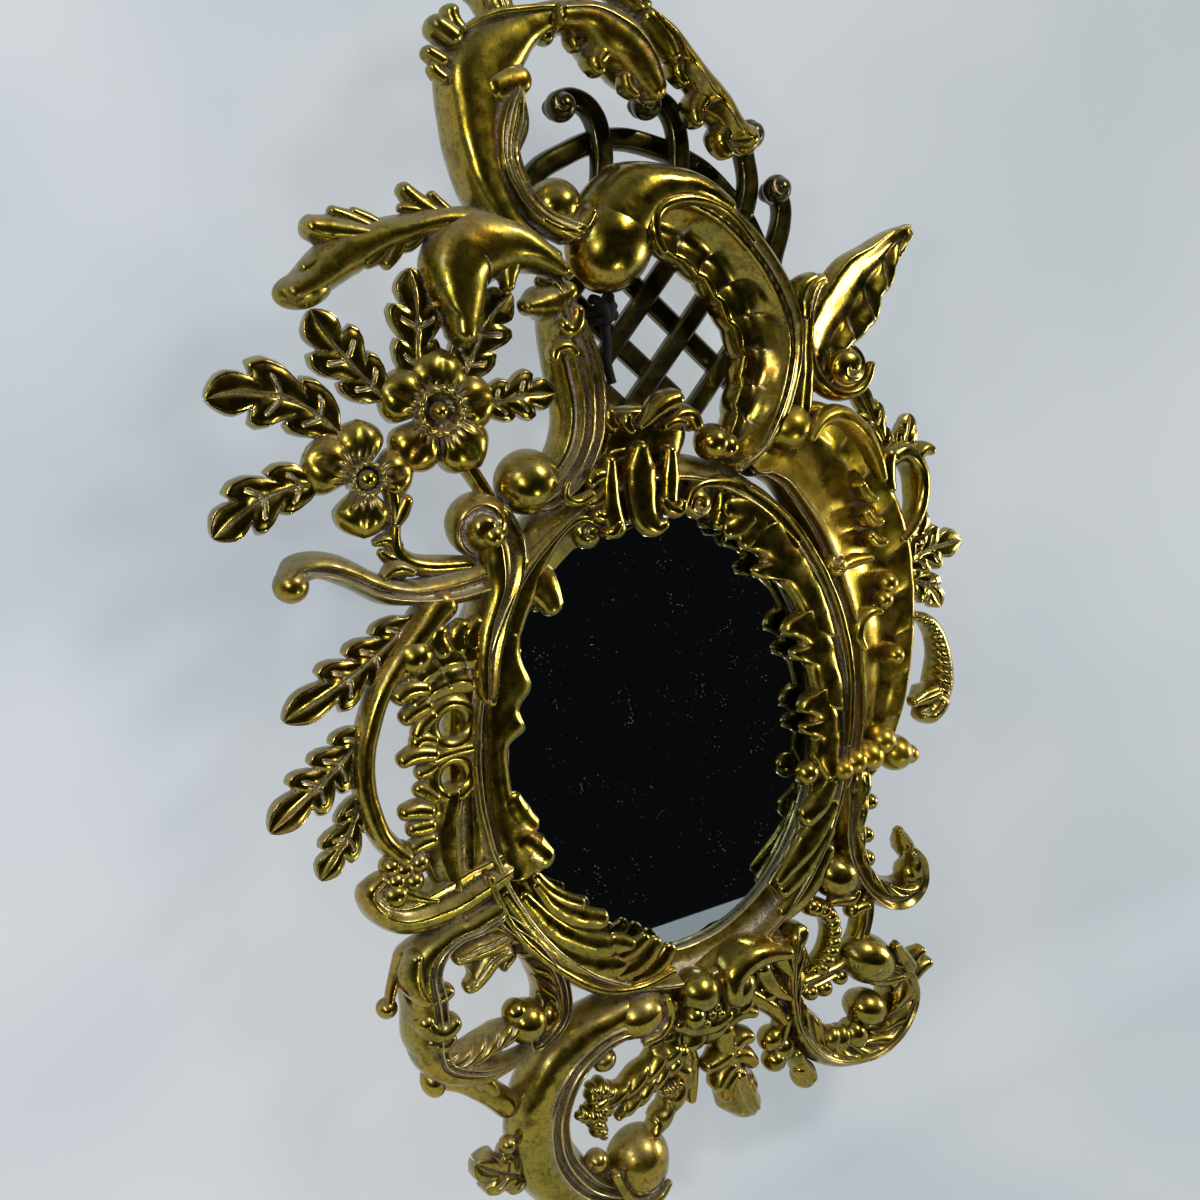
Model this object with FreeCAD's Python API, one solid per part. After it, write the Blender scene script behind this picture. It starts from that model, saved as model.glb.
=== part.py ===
import FreeCAD
import Part
import math
import os

# A carved and gilded rococo wall mirror. The middle of the sight oval is over the origin,
# the wall is the plane Y = 0, the front faces -Y and +Z is up. Millimetres.
# Places are shares of the sight oval's two half axes, and depths are distances from the wall.

# Sight oval, glass and backing
SIGHT_HALF_WIDTH = 100.0
SIGHT_HALF_HEIGHT = 125.0
GLASS_COVER = 6.0
GLASS_CLEARANCE = 0.5
GLASS_THICKNESS = 4.0
GLASS_BEVEL_WIDTH = 9.0
GLASS_BEVEL_DEPTH = 1.2
BOARD_THICKNESS = 5.0
LIP_THICKNESS = 4.0

# Moulding of the oval frame
RING_DEPTH = 36.0
LIP_FRONT_DEPTH = 25.0
LIP_WIDTH = 14.0
RIDGE_RISE_WIDTH = 3.0
RING_WIDTH = 29.0
RING_BACK_WIDTH = 25.0
SHOULDER_DEPTH = 20.0

# Brads that hold the backboard, and the hanging plate let into the back
BRAD_DIAMETER = 1.4
BRAD_LENGTH = 13.0
BRAD_GRIP = 6.0
BRAD_COUNT = 8
PLATE_WIDTH = 34.0
PLATE_HEIGHT = 14.0
PLATE_THICKNESS = 1.5
PLATE_HOLE_DIAMETER = 5.0
PLATE_NAIL_DEPTH = 6.0
PLATE_SCREW_DIAMETER = 2.6
PLATE_SCREW_HEAD_DIAMETER = 4.6
PLATE_SCREW_HEAD_DEPTH = 1.0
PLATE_SCREW_LENGTH = 9.0
PLATE_SCREW_INSET = 6.0

# Depths of the carving, from its back to its front
SCROLL_BACK_DEPTH = 12.0
SCROLL_FRONT_DEPTH = 40.0
ARM_BACK_DEPTH = 14.0
ARM_FRONT_DEPTH = 36.0
LEAF_BACK_DEPTH = 18.0
LEAF_FRONT_DEPTH = 30.0
SPRAY_BACK_DEPTH = 16.0
SPRAY_FRONT_DEPTH = 34.0
BERRY_FRONT_DEPTH = 42.0
BORDER_FRONT_DEPTH = 33.0
BORDER_EDGE_GAP = 0.6
LATTICE_BACK_DEPTH = 2.0
LATTICE_CROSS_DEPTH = 7.0
LATTICE_BAR_WIDTH = 11.0
LATTICE_RIM_WIDTH = 11.5
PIERCING_DIAMETER = 14.0

# Black cord that is tied round the lattice
CORD_DIAMETER = 5.0
CORD_KNOT_DIAMETER = 17.0
CORD_KNOT_THICKNESS = 11.0
CORD_REST_GAP = 0.4

OVERRUN = 5.0

# Width of each level of a carving, as (share of its depth, share of its drawn width)
SCROLL_SWELL_SHARES = [(0.0, 0.70), (0.35, 1.0), (0.75, 0.82), (1.0, 0.36)]
LEAF_SWELL_SHARES = [(0.0, 0.72), (0.5, 1.0), (1.0, 0.42)]
BAR_SWELL_SHARES = [(0.0, 1.0), (0.75, 1.0), (1.0, 0.72)]
LATTICE_OFFSET_SHARES = (0.05, -0.025)
CORD_KNOT_SHARES = (-0.105, 1.835)
CORD_TAIL_SHARES = [
    (-0.100, 1.780), (-0.085, 1.715), (-0.105, 1.650), (-0.100, 1.590), (-0.085, 1.535),
]


def place(spot_shares):
    """A drawn spot, given in shares of the sight oval's half axes."""
    return FreeCAD.Vector(spot_shares[0] * SIGHT_HALF_WIDTH, 0, spot_shares[1] * SIGHT_HALF_HEIGHT)


def at_depth(point, depth):
    """The same spot at a distance from the wall."""
    return FreeCAD.Vector(point.x, -depth, point.z)


def smooth(points):
    """One smooth open edge through the points."""
    curve = Part.BSplineCurve()
    curve.interpolate(points)
    return curve.toShape()


def spread(line_shares, count):
    """Evenly spaced points of the smooth line through drawn spots."""
    return smooth([place(spot) for spot in line_shares]).discretize(Number=count)


def end_arc(start, stop, outward, bulge_share):
    """An arc that closes the end of an outline."""
    middle = (start + stop) * 0.5
    reach = start.distanceToPoint(stop) * 0.5 * bulge_share
    return Part.Arc(start, middle + outward * reach, stop).toShape()


def outline(left, right, bulge_shares):
    """A closed outline of two edge lines with an arc at either end."""
    first = (left[0] + right[0]) * 0.5
    second = (left[1] + right[1]) * 0.5
    last = (left[-1] + right[-1]) * 0.5
    before = (left[-2] + right[-2]) * 0.5
    backward = (first - second).normalize()
    forward = (last - before).normalize()
    edges = [
        smooth(left),
        end_arc(left[-1], right[-1], forward, bulge_shares[1]),
        smooth(list(reversed(right))),
        end_arc(right[0], left[0], backward, bulge_shares[0]),
    ]
    return Part.Wire(edges)


def levels_solid(left, right, back, front, swell_shares, crest_share, bulge_shares):
    """Loft through levels that draw in towards the crest line between two edge lines."""
    wires = []
    for depth_share, width_share in swell_shares:
        depth = back + (front - back) * depth_share
        near = []
        far = []
        for one, other in zip(left, right):
            crest = one + (other - one) * crest_share
            near.append(at_depth(crest + (one - crest) * width_share, depth))
            far.append(at_depth(crest + (other - crest) * width_share, depth))
        wires.append(outline(near, far, bulge_shares))
    return Part.makeLoft(wires, True, True)


def carved(left_shares, right_shares, back, front, crest_share=0.5, bulge_shares=(0.8, 0.8)):
    """A carved scroll between two drawn edge lines."""
    count = max(9, len(left_shares) + 2, len(right_shares) + 2)
    left = spread(left_shares, count)
    right = spread(right_shares, count)
    return levels_solid(left, right, back, front, SCROLL_SWELL_SHARES, crest_share, bulge_shares)


def stem(line_shares, width_shares, back, front, swell_shares=SCROLL_SWELL_SHARES, bulge=1.0):
    """A band of changing width along a drawn line; widths are shares of the half width."""
    count = max(9, len(line_shares) * 2)
    middle = spread(line_shares, count)
    left = []
    right = []
    for index, point in enumerate(middle):
        before = middle[max(index - 1, 0)]
        after = middle[min(index + 1, count - 1)]
        along = (after - before).normalize()
        side = FreeCAD.Vector(-along.z, 0, along.x)
        at = index / (count - 1) * (len(width_shares) - 1)
        low = min(int(at), len(width_shares) - 2)
        width = width_shares[low] + (width_shares[low + 1] - width_shares[low]) * (at - low)
        half = width * SIGHT_HALF_WIDTH * 0.5
        left.append(point + side * half)
        right.append(point - side * half)
    return levels_solid(left, right, back, front, swell_shares, 0.5, (bulge, bulge))


def leaf(base_share, tip_share, width_share, lobes, bend_share=0.0, back=None, front=None):
    """A lobed leaf: its half width follows a sine arch that swells and draws in at each lobe."""
    root = place(base_share)
    tip = place(tip_share)
    along = tip - root
    side = FreeCAD.Vector(-along.z, 0, along.x).normalize()
    half = width_share * SIGHT_HALF_WIDTH * 0.5
    bend = bend_share * along.Length
    count = lobes * 4 + 1
    left = []
    right = []
    for index in range(count):
        t = index / (count - 1)
        arch = math.sin(math.pi * (0.12 + 0.80 * t ** 0.85))
        lobing = 0.72 + 0.28 * abs(math.sin(math.pi * lobes * t))
        middle = root + along * t + side * (bend * math.sin(math.pi * t))
        left.append(middle + side * (half * arch * lobing))
        right.append(middle - side * (half * arch * lobing))
    back = LEAF_BACK_DEPTH if back is None else back
    front = LEAF_FRONT_DEPTH if front is None else front
    return levels_solid(left, right, back, front, LEAF_SWELL_SHARES, 0.5, (0.6, 0.9))


def boss(spot_share, radius_share, back, front):
    """A round swelling: a cap of a sphere over a short cone, turned about a line to the wall."""
    centre = place(spot_share)
    radius = radius_share * SIGHT_HALF_WIDTH
    rise = min((front - back) * 0.6, radius)
    half_turn = math.atan2(rise, radius)
    ball = radius / math.sin(2 * half_turn)
    foot = at_depth(centre, back)
    rim = at_depth(centre, front - rise) + FreeCAD.Vector(radius, 0, 0)
    top = at_depth(centre, front)
    middle = at_depth(centre, front - ball + ball * math.cos(half_turn))
    middle = middle + FreeCAD.Vector(ball * math.sin(half_turn), 0, 0)
    heel = foot + FreeCAD.Vector(radius * 0.7, 0, 0)
    edges = [
        Part.makeLine(foot, heel),
        Part.makeLine(heel, rim),
        Part.Arc(rim, middle, top).toShape(),
        Part.makeLine(top, foot),
    ]
    return Part.Face(Part.Wire(edges)).revolve(centre, FreeCAD.Vector(0, 1, 0), 360)


def bosses(spots, back, front):
    """A cluster of round swellings, each given as (across, up, radius) shares."""
    return [boss((across, up), radius, back, front) for across, up, radius in spots]


def one_piece(solids):
    """Solids of one carving, joined."""
    whole = solids[0]
    if len(solids) > 1:
        whole = whole.fuse(solids[1:])
    return whole.Solids[0] if len(whole.Solids) == 1 else whole


def oval_wire(margin, depth):
    """The sight oval, widened by a margin, at a depth."""
    major = FreeCAD.Vector(0, -depth, SIGHT_HALF_HEIGHT + margin)
    minor = FreeCAD.Vector(SIGHT_HALF_WIDTH + margin, -depth, 0)
    return Part.Wire([Part.Ellipse(major, minor, FreeCAD.Vector(0, -depth, 0)).toShape()])


def oval_stack(levels):
    """Ruled block through widened ovals, given as (margin, depth)."""
    return Part.makeLoft([oval_wire(margin, depth) for margin, depth in levels], True, True)


RIDGE_MARGIN = LIP_WIDTH + RIDGE_RISE_WIDTH
GLASS_FRONT_DEPTH = LIP_FRONT_DEPTH - LIP_THICKNESS
GLASS_BACK_DEPTH = GLASS_FRONT_DEPTH - GLASS_THICKNESS
BOARD_BACK_DEPTH = GLASS_BACK_DEPTH - BOARD_THICKNESS
BRAD_DEPTH = BOARD_BACK_DEPTH - BRAD_DIAMETER * 0.5
CORD_TAIL_DEPTH = SCROLL_BACK_DEPTH + CORD_REST_GAP + CORD_DIAMETER * 0.5


def oval_brads():
    """Brads driven from the rebate into the ring, just behind the backboard."""
    brads = []
    for index in range(BRAD_COUNT):
        turn = 2 * math.pi * (index + 0.5) / BRAD_COUNT
        across = (SIGHT_HALF_WIDTH + GLASS_COVER) * math.cos(turn)
        up = (SIGHT_HALF_HEIGHT + GLASS_COVER) * math.sin(turn)
        slope = FreeCAD.Vector(
            math.cos(turn) * (SIGHT_HALF_HEIGHT + GLASS_COVER), 0,
            math.sin(turn) * (SIGHT_HALF_WIDTH + GLASS_COVER)).normalize()
        wall = FreeCAD.Vector(across, -BRAD_DEPTH, up)
        start = wall - slope * (BRAD_LENGTH - BRAD_GRIP)
        brads.append(Part.makeCylinder(BRAD_DIAMETER * 0.5, BRAD_LENGTH, start, slope))
    return brads


def hanging_plate_parts():
    """The flat hanging plate at the top of the ring's back, its two screws and its nail hole."""
    middle = SIGHT_HALF_HEIGHT + GLASS_COVER + (RING_BACK_WIDTH - GLASS_COVER) * 0.5
    corner = FreeCAD.Vector(-PLATE_WIDTH * 0.5, -PLATE_THICKNESS, middle - PLATE_HEIGHT * 0.5)
    plate = Part.makeBox(PLATE_WIDTH, PLATE_THICKNESS, PLATE_HEIGHT, corner)
    forward = FreeCAD.Vector(0, -1, 0)
    nail = Part.makeCylinder(
        PLATE_HOLE_DIAMETER * 0.5, PLATE_NAIL_DEPTH, FreeCAD.Vector(0, 0, middle), forward)
    screws = []
    for side in (-1, 1):
        across = side * (PLATE_WIDTH * 0.5 - PLATE_SCREW_INSET)
        start = FreeCAD.Vector(across, 0, middle)
        head = Part.makeCone(
            PLATE_SCREW_HEAD_DIAMETER * 0.5, PLATE_SCREW_DIAMETER * 0.5,
            PLATE_SCREW_HEAD_DEPTH, start, forward)
        shank = Part.makeCylinder(
            PLATE_SCREW_DIAMETER * 0.5, PLATE_SCREW_LENGTH, start, forward)
        screws.append(head.fuse(shank).removeSplitter())
    return plate, nail, screws


def ring_block():
    """The ring's outside and its dished front, before the sight and the rebate are cut."""
    body = oval_stack([
        (RING_BACK_WIDTH, 0),
        (RING_WIDTH, SHOULDER_DEPTH),
        (RIDGE_MARGIN, RING_DEPTH),
    ])
    dish = oval_stack([
        (RIDGE_MARGIN, RING_DEPTH),
        (LIP_WIDTH, LIP_FRONT_DEPTH),
    ])
    return body.cut(dish).Solids[0]


def oval_frame(brads, plate, nail, screws):
    """The ring: a rebate behind, a flat lip for the leaf borders, and a ridge outside it."""
    sight = oval_stack([(0, LIP_FRONT_DEPTH + OVERRUN), (0, -OVERRUN)])
    rebate = oval_stack([(GLASS_COVER, GLASS_FRONT_DEPTH), (GLASS_COVER, -OVERRUN)])
    ring = ring_block().cut(sight).cut(rebate)
    return ring.cut(brads + [plate, nail] + screws).Solids[0]


def mirror_glass():
    """The oval mirror glass with its ground bevel."""
    margin = GLASS_COVER - GLASS_CLEARANCE
    return oval_stack([
        (margin, GLASS_BACK_DEPTH),
        (margin, GLASS_FRONT_DEPTH - GLASS_BEVEL_DEPTH),
        (margin - GLASS_BEVEL_WIDTH, GLASS_FRONT_DEPTH),
    ])


def backboard():
    """The thin board behind the glass."""
    margin = GLASS_COVER - GLASS_CLEARANCE
    return oval_stack([(margin, BOARD_BACK_DEPTH), (margin, GLASS_BACK_DEPTH)])


def border_piece(turn_from, turn_to, tips, lobe_depth_share):
    """A border leaf strip on the ring's lip; its inner edge runs out in pointed lobes."""
    count = tips * 4 + 1
    outer = []
    inner = []
    margin = LIP_WIDTH - BORDER_EDGE_GAP
    for index in range(count):
        t = index / (count - 1)
        turn = math.radians(turn_from + (turn_to - turn_from) * t)
        reach = SIGHT_HALF_WIDTH * lobe_depth_share * abs(math.sin(math.pi * tips * t)) ** 0.8
        for line, offset in ((outer, margin), (inner, -reach)):
            line.append(FreeCAD.Vector(
                (SIGHT_HALF_WIDTH + offset) * math.cos(turn), 0,
                (SIGHT_HALF_HEIGHT + offset) * math.sin(turn)))
    swell = [(0.0, 1.0), (0.5, 0.96), (1.0, 0.55)]
    return levels_solid(
        outer, inner, LIP_FRONT_DEPTH, BORDER_FRONT_DEPTH, swell, 0.4, (0.3, 0.3))


def set_back(spot_shares):
    """A spot of the lattice, moved by its drawing's offset."""
    return (spot_shares[0] + LATTICE_OFFSET_SHARES[0], spot_shares[1] + LATTICE_OFFSET_SHARES[1])


def lattice_bars(lines, back, front):
    """Straight bars of the lattice, each from one drawn spot to another."""
    share = LATTICE_BAR_WIDTH / SIGHT_HALF_WIDTH
    bars = []
    for line in lines:
        start, stop = [set_back(spot) for spot in line]
        middle = ((start[0] + stop[0]) * 0.5, (start[1] + stop[1]) * 0.5)
        bars.append(stem([start, middle, stop], [share, share], back, front, BAR_SWELL_SHARES, 0.3))
    return bars


def cord_tail_path():
    """Straight runs joined by arcs, from the knot down to the frayed end."""
    points = [at_depth(place(spot), CORD_TAIL_DEPTH) for spot in CORD_TAIL_SHARES]
    edges = []
    last = points[0]
    for index in range(1, len(points) - 1):
        corner = points[index]
        before = (points[index - 1] - corner)
        after = (points[index + 1] - corner)
        turn = math.pi - before.getAngle(after)
        run = min(before.Length, after.Length)
        radius = 0.45 * run / math.tan(turn * 0.5)
        start = corner + before.normalize() * (0.45 * run)
        stop = corner + after.normalize() * (0.45 * run)
        inward = (before + after).normalize()
        centre = corner + inward * (radius / math.cos(turn * 0.5))
        edges.append(Part.makeLine(last, start))
        edges.append(Part.Arc(start, centre - inward * radius, stop).toShape())
        last = stop
    edges.append(Part.makeLine(last, points[-1]))
    return Part.Wire(edges)


def cord_tail():
    """The limp tail of the cord, one round tube along its path."""
    path = cord_tail_path()
    start = path.Edges[0].Vertexes[0].Point
    direction = path.Edges[0].Vertexes[1].Point - start
    circle = Part.Wire([Part.makeCircle(CORD_DIAMETER * 0.5, start, direction)])
    tube = path.makePipeShell([circle], True, True)
    return tube


def scroll(left_shares, right_shares, crest_share=0.5, bulge_shares=(0.8, 0.8)):
    """A main scroll at the full depth of the carving."""
    return carved(
        left_shares, right_shares, SCROLL_BACK_DEPTH, SCROLL_FRONT_DEPTH, crest_share, bulge_shares)


def balls(spots):
    """Swellings of a main scroll."""
    return bosses(spots, SCROLL_BACK_DEPTH, BERRY_FRONT_DEPTH)


def arm(line_shares, width_shares):
    """A slender scroll that follows one drawn line."""
    return stem(line_shares, width_shares, ARM_BACK_DEPTH, ARM_FRONT_DEPTH)


def crest_pieces():
    """The leaf scroll that arches over the crest and the great C scroll below it."""
    pieces = {}
    pieces["crest_c_scroll"] = one_piece([scroll(
        [(-0.05, 2.345), (0.15, 2.37), (0.45, 2.32), (0.75, 2.15), (0.96, 1.93),
         (1.05, 1.73), (1.02, 1.52), (0.92, 1.33), (0.75, 1.17), (0.55, 1.09)],
        [(0.05, 2.10), (0.20, 2.03), (0.33, 1.97), (0.45, 1.88), (0.56, 1.73),
         (0.62, 1.60), (0.60, 1.48), (0.56, 1.37), (0.54, 1.30), (0.48, 1.25)],
        0.2, (0.2, 0.6))] + balls([(0.48, 1.20, 0.105), (0.03, 2.16, 0.25)]))
    pieces["crest_leaf_stem"] = one_piece([scroll(
        [(-0.58, 2.12), (-0.79, 2.26), (-0.87, 2.45), (-0.905, 2.65), (-0.90, 2.79),
         (-0.80, 2.90), (-0.64, 2.95), (-0.45, 2.985), (-0.25, 3.005)],
        [(-0.42, 2.10), (-0.54, 2.25), (-0.61, 2.40), (-0.62, 2.52), (-0.59, 2.62),
         (-0.52, 2.72), (-0.46, 2.80), (-0.38, 2.85), (-0.28, 2.90)])]
        + balls([(-0.88, 2.89, 0.085), (-0.91, 2.80, 0.055), (-0.48, 2.76, 0.085)]))
    pieces["crest_leaf_flange"] = one_piece([scroll(
        [(-0.42, 2.10), (-0.54, 2.22), (-0.60, 2.38), (-0.62, 2.52), (-0.59, 2.61),
         (-0.53, 2.69)],
        [(-0.26, 2.16), (-0.38, 2.24), (-0.47, 2.38), (-0.47, 2.48), (-0.44, 2.57),
         (-0.46, 2.66)])]
        + balls([(-0.33, 2.26, 0.125)]))
    pieces["crest_leaf_head"] = scroll(
        [(-0.30, 3.00), (-0.10, 3.015), (0.10, 3.00), (0.22, 2.97), (0.32, 2.90),
         (0.36, 2.82), (0.35, 2.75)],
        [(-0.28, 2.90), (-0.16, 2.88), (-0.08, 2.88), (-0.03, 2.78), (0.05, 2.785),
         (0.12, 2.70), (0.20, 2.665)])
    pieces["crest_leaf_tail"] = scroll(
        [(0.22, 2.98), (0.35, 2.92), (0.45, 2.84), (0.52, 2.77), (0.60, 2.72),
         (0.68, 2.63), (0.73, 2.56), (0.82, 2.49)],
        [(0.30, 2.86), (0.37, 2.77), (0.42, 2.71), (0.44, 2.62), (0.50, 2.53),
         (0.57, 2.50), (0.62, 2.43), (0.70, 2.40)])
    pieces["crest_top_leaf"] = scroll(
        [(-0.66, 2.95), (-0.70, 3.06), (-0.62, 3.17), (-0.45, 3.23), (-0.25, 3.25),
         (-0.05, 3.20), (0.12, 3.12), (0.24, 3.00)],
        [(-0.50, 2.97), (-0.50, 3.05), (-0.43, 3.11), (-0.30, 3.13), (-0.15, 3.11),
         (-0.05, 3.07), (0.02, 3.02), (0.08, 2.98)])
    return pieces


def lattice_pieces():
    """The pierced lattice of the crest and the knobbed bars that rise from its rim."""
    pieces = {}
    rim_width = LATTICE_RIM_WIDTH / SIGHT_HALF_WIDTH
    rim = [(-0.60, 2.15), (-0.46, 2.28), (-0.28, 2.41), (-0.05, 2.455), (0.18, 2.46),
           (0.42, 2.41), (0.62, 2.31), (0.78, 2.19), (0.90, 2.04), (0.97, 1.88)]
    pieces["lattice_rim"] = stem(
        [set_back(spot) for spot in rim], [rim_width, rim_width],
        LATTICE_BACK_DEPTH, LATTICE_CROSS_DEPTH, BAR_SWELL_SHARES, 0.3)
    pieces["lattice_rising_bars"] = Part.makeCompound(lattice_bars(
        [((-0.36, 1.90), (0.02, 2.20)), ((-0.20, 1.62), (0.32, 2.04)),
         ((-0.06, 1.40), (0.58, 1.92)), ((0.30, 1.34), (0.72, 1.68))],
        LATTICE_CROSS_DEPTH, SCROLL_BACK_DEPTH))
    pieces["lattice_falling_bars"] = Part.makeCompound(lattice_bars(
        [((-0.40, 2.02), (0.30, 1.46)), ((0.02, 2.02), (0.68, 1.49)),
         ((-0.31, 1.66), (0.08, 1.35))],
        LATTICE_BACK_DEPTH, LATTICE_CROSS_DEPTH))
    knobbed = [
        [(-0.21, 2.63), (-0.17, 2.66), (-0.08, 2.62), (-0.01, 2.50), (-0.01, 2.40),
         (-0.06, 2.30)],
        [(0.25, 2.62), (0.32, 2.645), (0.40, 2.60), (0.43, 2.48), (0.41, 2.36)],
        [(1.02, 2.27), (1.06, 2.19), (1.02, 2.07), (0.97, 1.95), (0.93, 1.86)],
        [(0.80, 2.44), (0.81, 2.38), (0.81, 2.32), (0.80, 2.20)],
    ]
    bars = []
    for line in knobbed:
        spots = [set_back(spot) for spot in line]
        bar = stem(spots, [0.11, 0.12, 0.12], LATTICE_CROSS_DEPTH, SCROLL_BACK_DEPTH)
        knob = boss(spots[0], 0.072, LATTICE_CROSS_DEPTH, LEAF_FRONT_DEPTH)
        bars.append(bar.fuse(knob).Solids[0])
    pieces["knobbed_bars"] = Part.makeCompound(bars)
    return pieces


def upper_left_pieces():
    """The wing acanthus, the ribbed C scroll and the flower spray."""
    pieces = {}
    pieces["ribbed_c_scroll"] = one_piece([scroll(
        [(-0.38, 1.95), (-0.27, 1.80), (-0.20, 1.60), (-0.22, 1.42), (-0.30, 1.24),
         (-0.45, 1.10), (-0.62, 1.05)],
        [(-0.50, 1.76), (-0.50, 1.66), (-0.46, 1.54), (-0.44, 1.43), (-0.50, 1.33),
         (-0.58, 1.28), (-0.66, 1.24)])]
        + balls([(-0.44, 1.79, 0.06), (-0.49, 1.70, 0.06), (-0.52, 1.62, 0.045),
                 (-0.68, 1.19, 0.165)]))
    pieces["wing_acanthus"] = one_piece([carved(
        [(-0.36, 1.93), (-0.52, 2.11), (-0.65, 2.19), (-0.85, 2.24), (-1.00, 2.29),
         (-1.14, 2.33), (-1.20, 2.24), (-1.36, 2.24), (-1.50, 2.28), (-1.63, 2.25),
         (-1.59, 2.16), (-1.70, 2.09), (-1.77, 2.03)],
        [(-0.46, 1.90), (-0.55, 2.01), (-0.68, 1.99), (-0.80, 2.03), (-0.95, 2.07),
         (-1.08, 2.10), (-1.18, 2.12), (-1.27, 2.07), (-1.38, 2.07), (-1.48, 2.00),
         (-1.58, 1.97), (-1.66, 1.955), (-1.74, 1.96)],
        ARM_BACK_DEPTH, ARM_FRONT_DEPTH), stem(
        [(-0.86, 2.12), (-0.92, 2.00), (-0.94, 1.88), (-0.94, 1.80)],
        [0.20, 0.33, 0.26, 0.10], LEAF_FRONT_DEPTH, BERRY_FRONT_DEPTH), stem(
        [(-0.40, 1.93), (-0.46, 1.91), (-0.52, 1.89), (-0.60, 1.86)],
        [0.14, 0.20, 0.16, 0.07], ARM_BACK_DEPTH, ARM_FRONT_DEPTH)])
    petals = [
        ("large_flower", (-1.11, 1.50), 0.165, 0.125, 5, 95.0),
        ("small_flower", (-1.55, 1.31), 0.145, 0.105, 4, 170.0),
    ]
    for name, spot, ring_share, petal_share, count, first in petals:
        parts = []
        for index in range(count):
            turn = math.radians(first + 360.0 * index / count)
            across = spot[0] + ring_share * math.cos(turn)
            up = spot[1] + ring_share * math.sin(turn) * SIGHT_HALF_WIDTH / SIGHT_HALF_HEIGHT
            parts.append(boss((across, up), petal_share, SPRAY_BACK_DEPTH, SPRAY_FRONT_DEPTH))
        parts.append(boss(spot, petal_share, SPRAY_BACK_DEPTH, SPRAY_FRONT_DEPTH))
        parts.append(boss(spot, 0.075, SPRAY_BACK_DEPTH, BERRY_FRONT_DEPTH))
        pieces[name] = one_piece(parts)
    leaves = {
        "spray_leaves_left": [
            ((-1.60, 1.47), (-2.17, 1.67), 0.30, 3, 0.06),
            ((-1.72, 1.33), (-2.24, 1.19), 0.27, 3, 0.06),
            ((-1.34, 1.58), (-1.66, 1.92), 0.28, 3, 0.05),
        ],
        "spray_leaves_right": [
            ((-1.16, 1.62), (-1.16, 2.04), 0.29, 3, 0.0),
            ((-0.98, 1.64), (-0.66, 1.93), 0.26, 3, 0.0),
            ((-0.88, 1.52), (-0.46, 1.54), 0.24, 3, 0.0),
        ],
    }
    for name, rows in leaves.items():
        pieces[name] = Part.makeCompound([leaf(*row) for row in rows])
    stalk = stem(
        [(-1.02, 1.32), (-0.95, 1.23), (-0.88, 1.13)], [0.08, 0.07],
        SPRAY_BACK_DEPTH, LEAF_FRONT_DEPTH)
    branch = one_piece([stem(
        [(-1.42, 1.24), (-1.40, 1.12), (-1.41, 1.03), (-1.36, 0.97), (-1.22, 0.935),
         (-1.05, 0.91)],
        [0.07, 0.08, 0.10, 0.10], SPRAY_BACK_DEPTH, LEAF_FRONT_DEPTH)]
        + bosses([(-1.35, 1.19, 0.06), (-1.47, 1.04, 0.045), (-1.44, 0.94, 0.055)],
                 SPRAY_BACK_DEPTH, LEAF_FRONT_DEPTH))
    pieces["spray_stems"] = Part.makeCompound([stalk, branch.Solids[0]])
    return pieces


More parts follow.
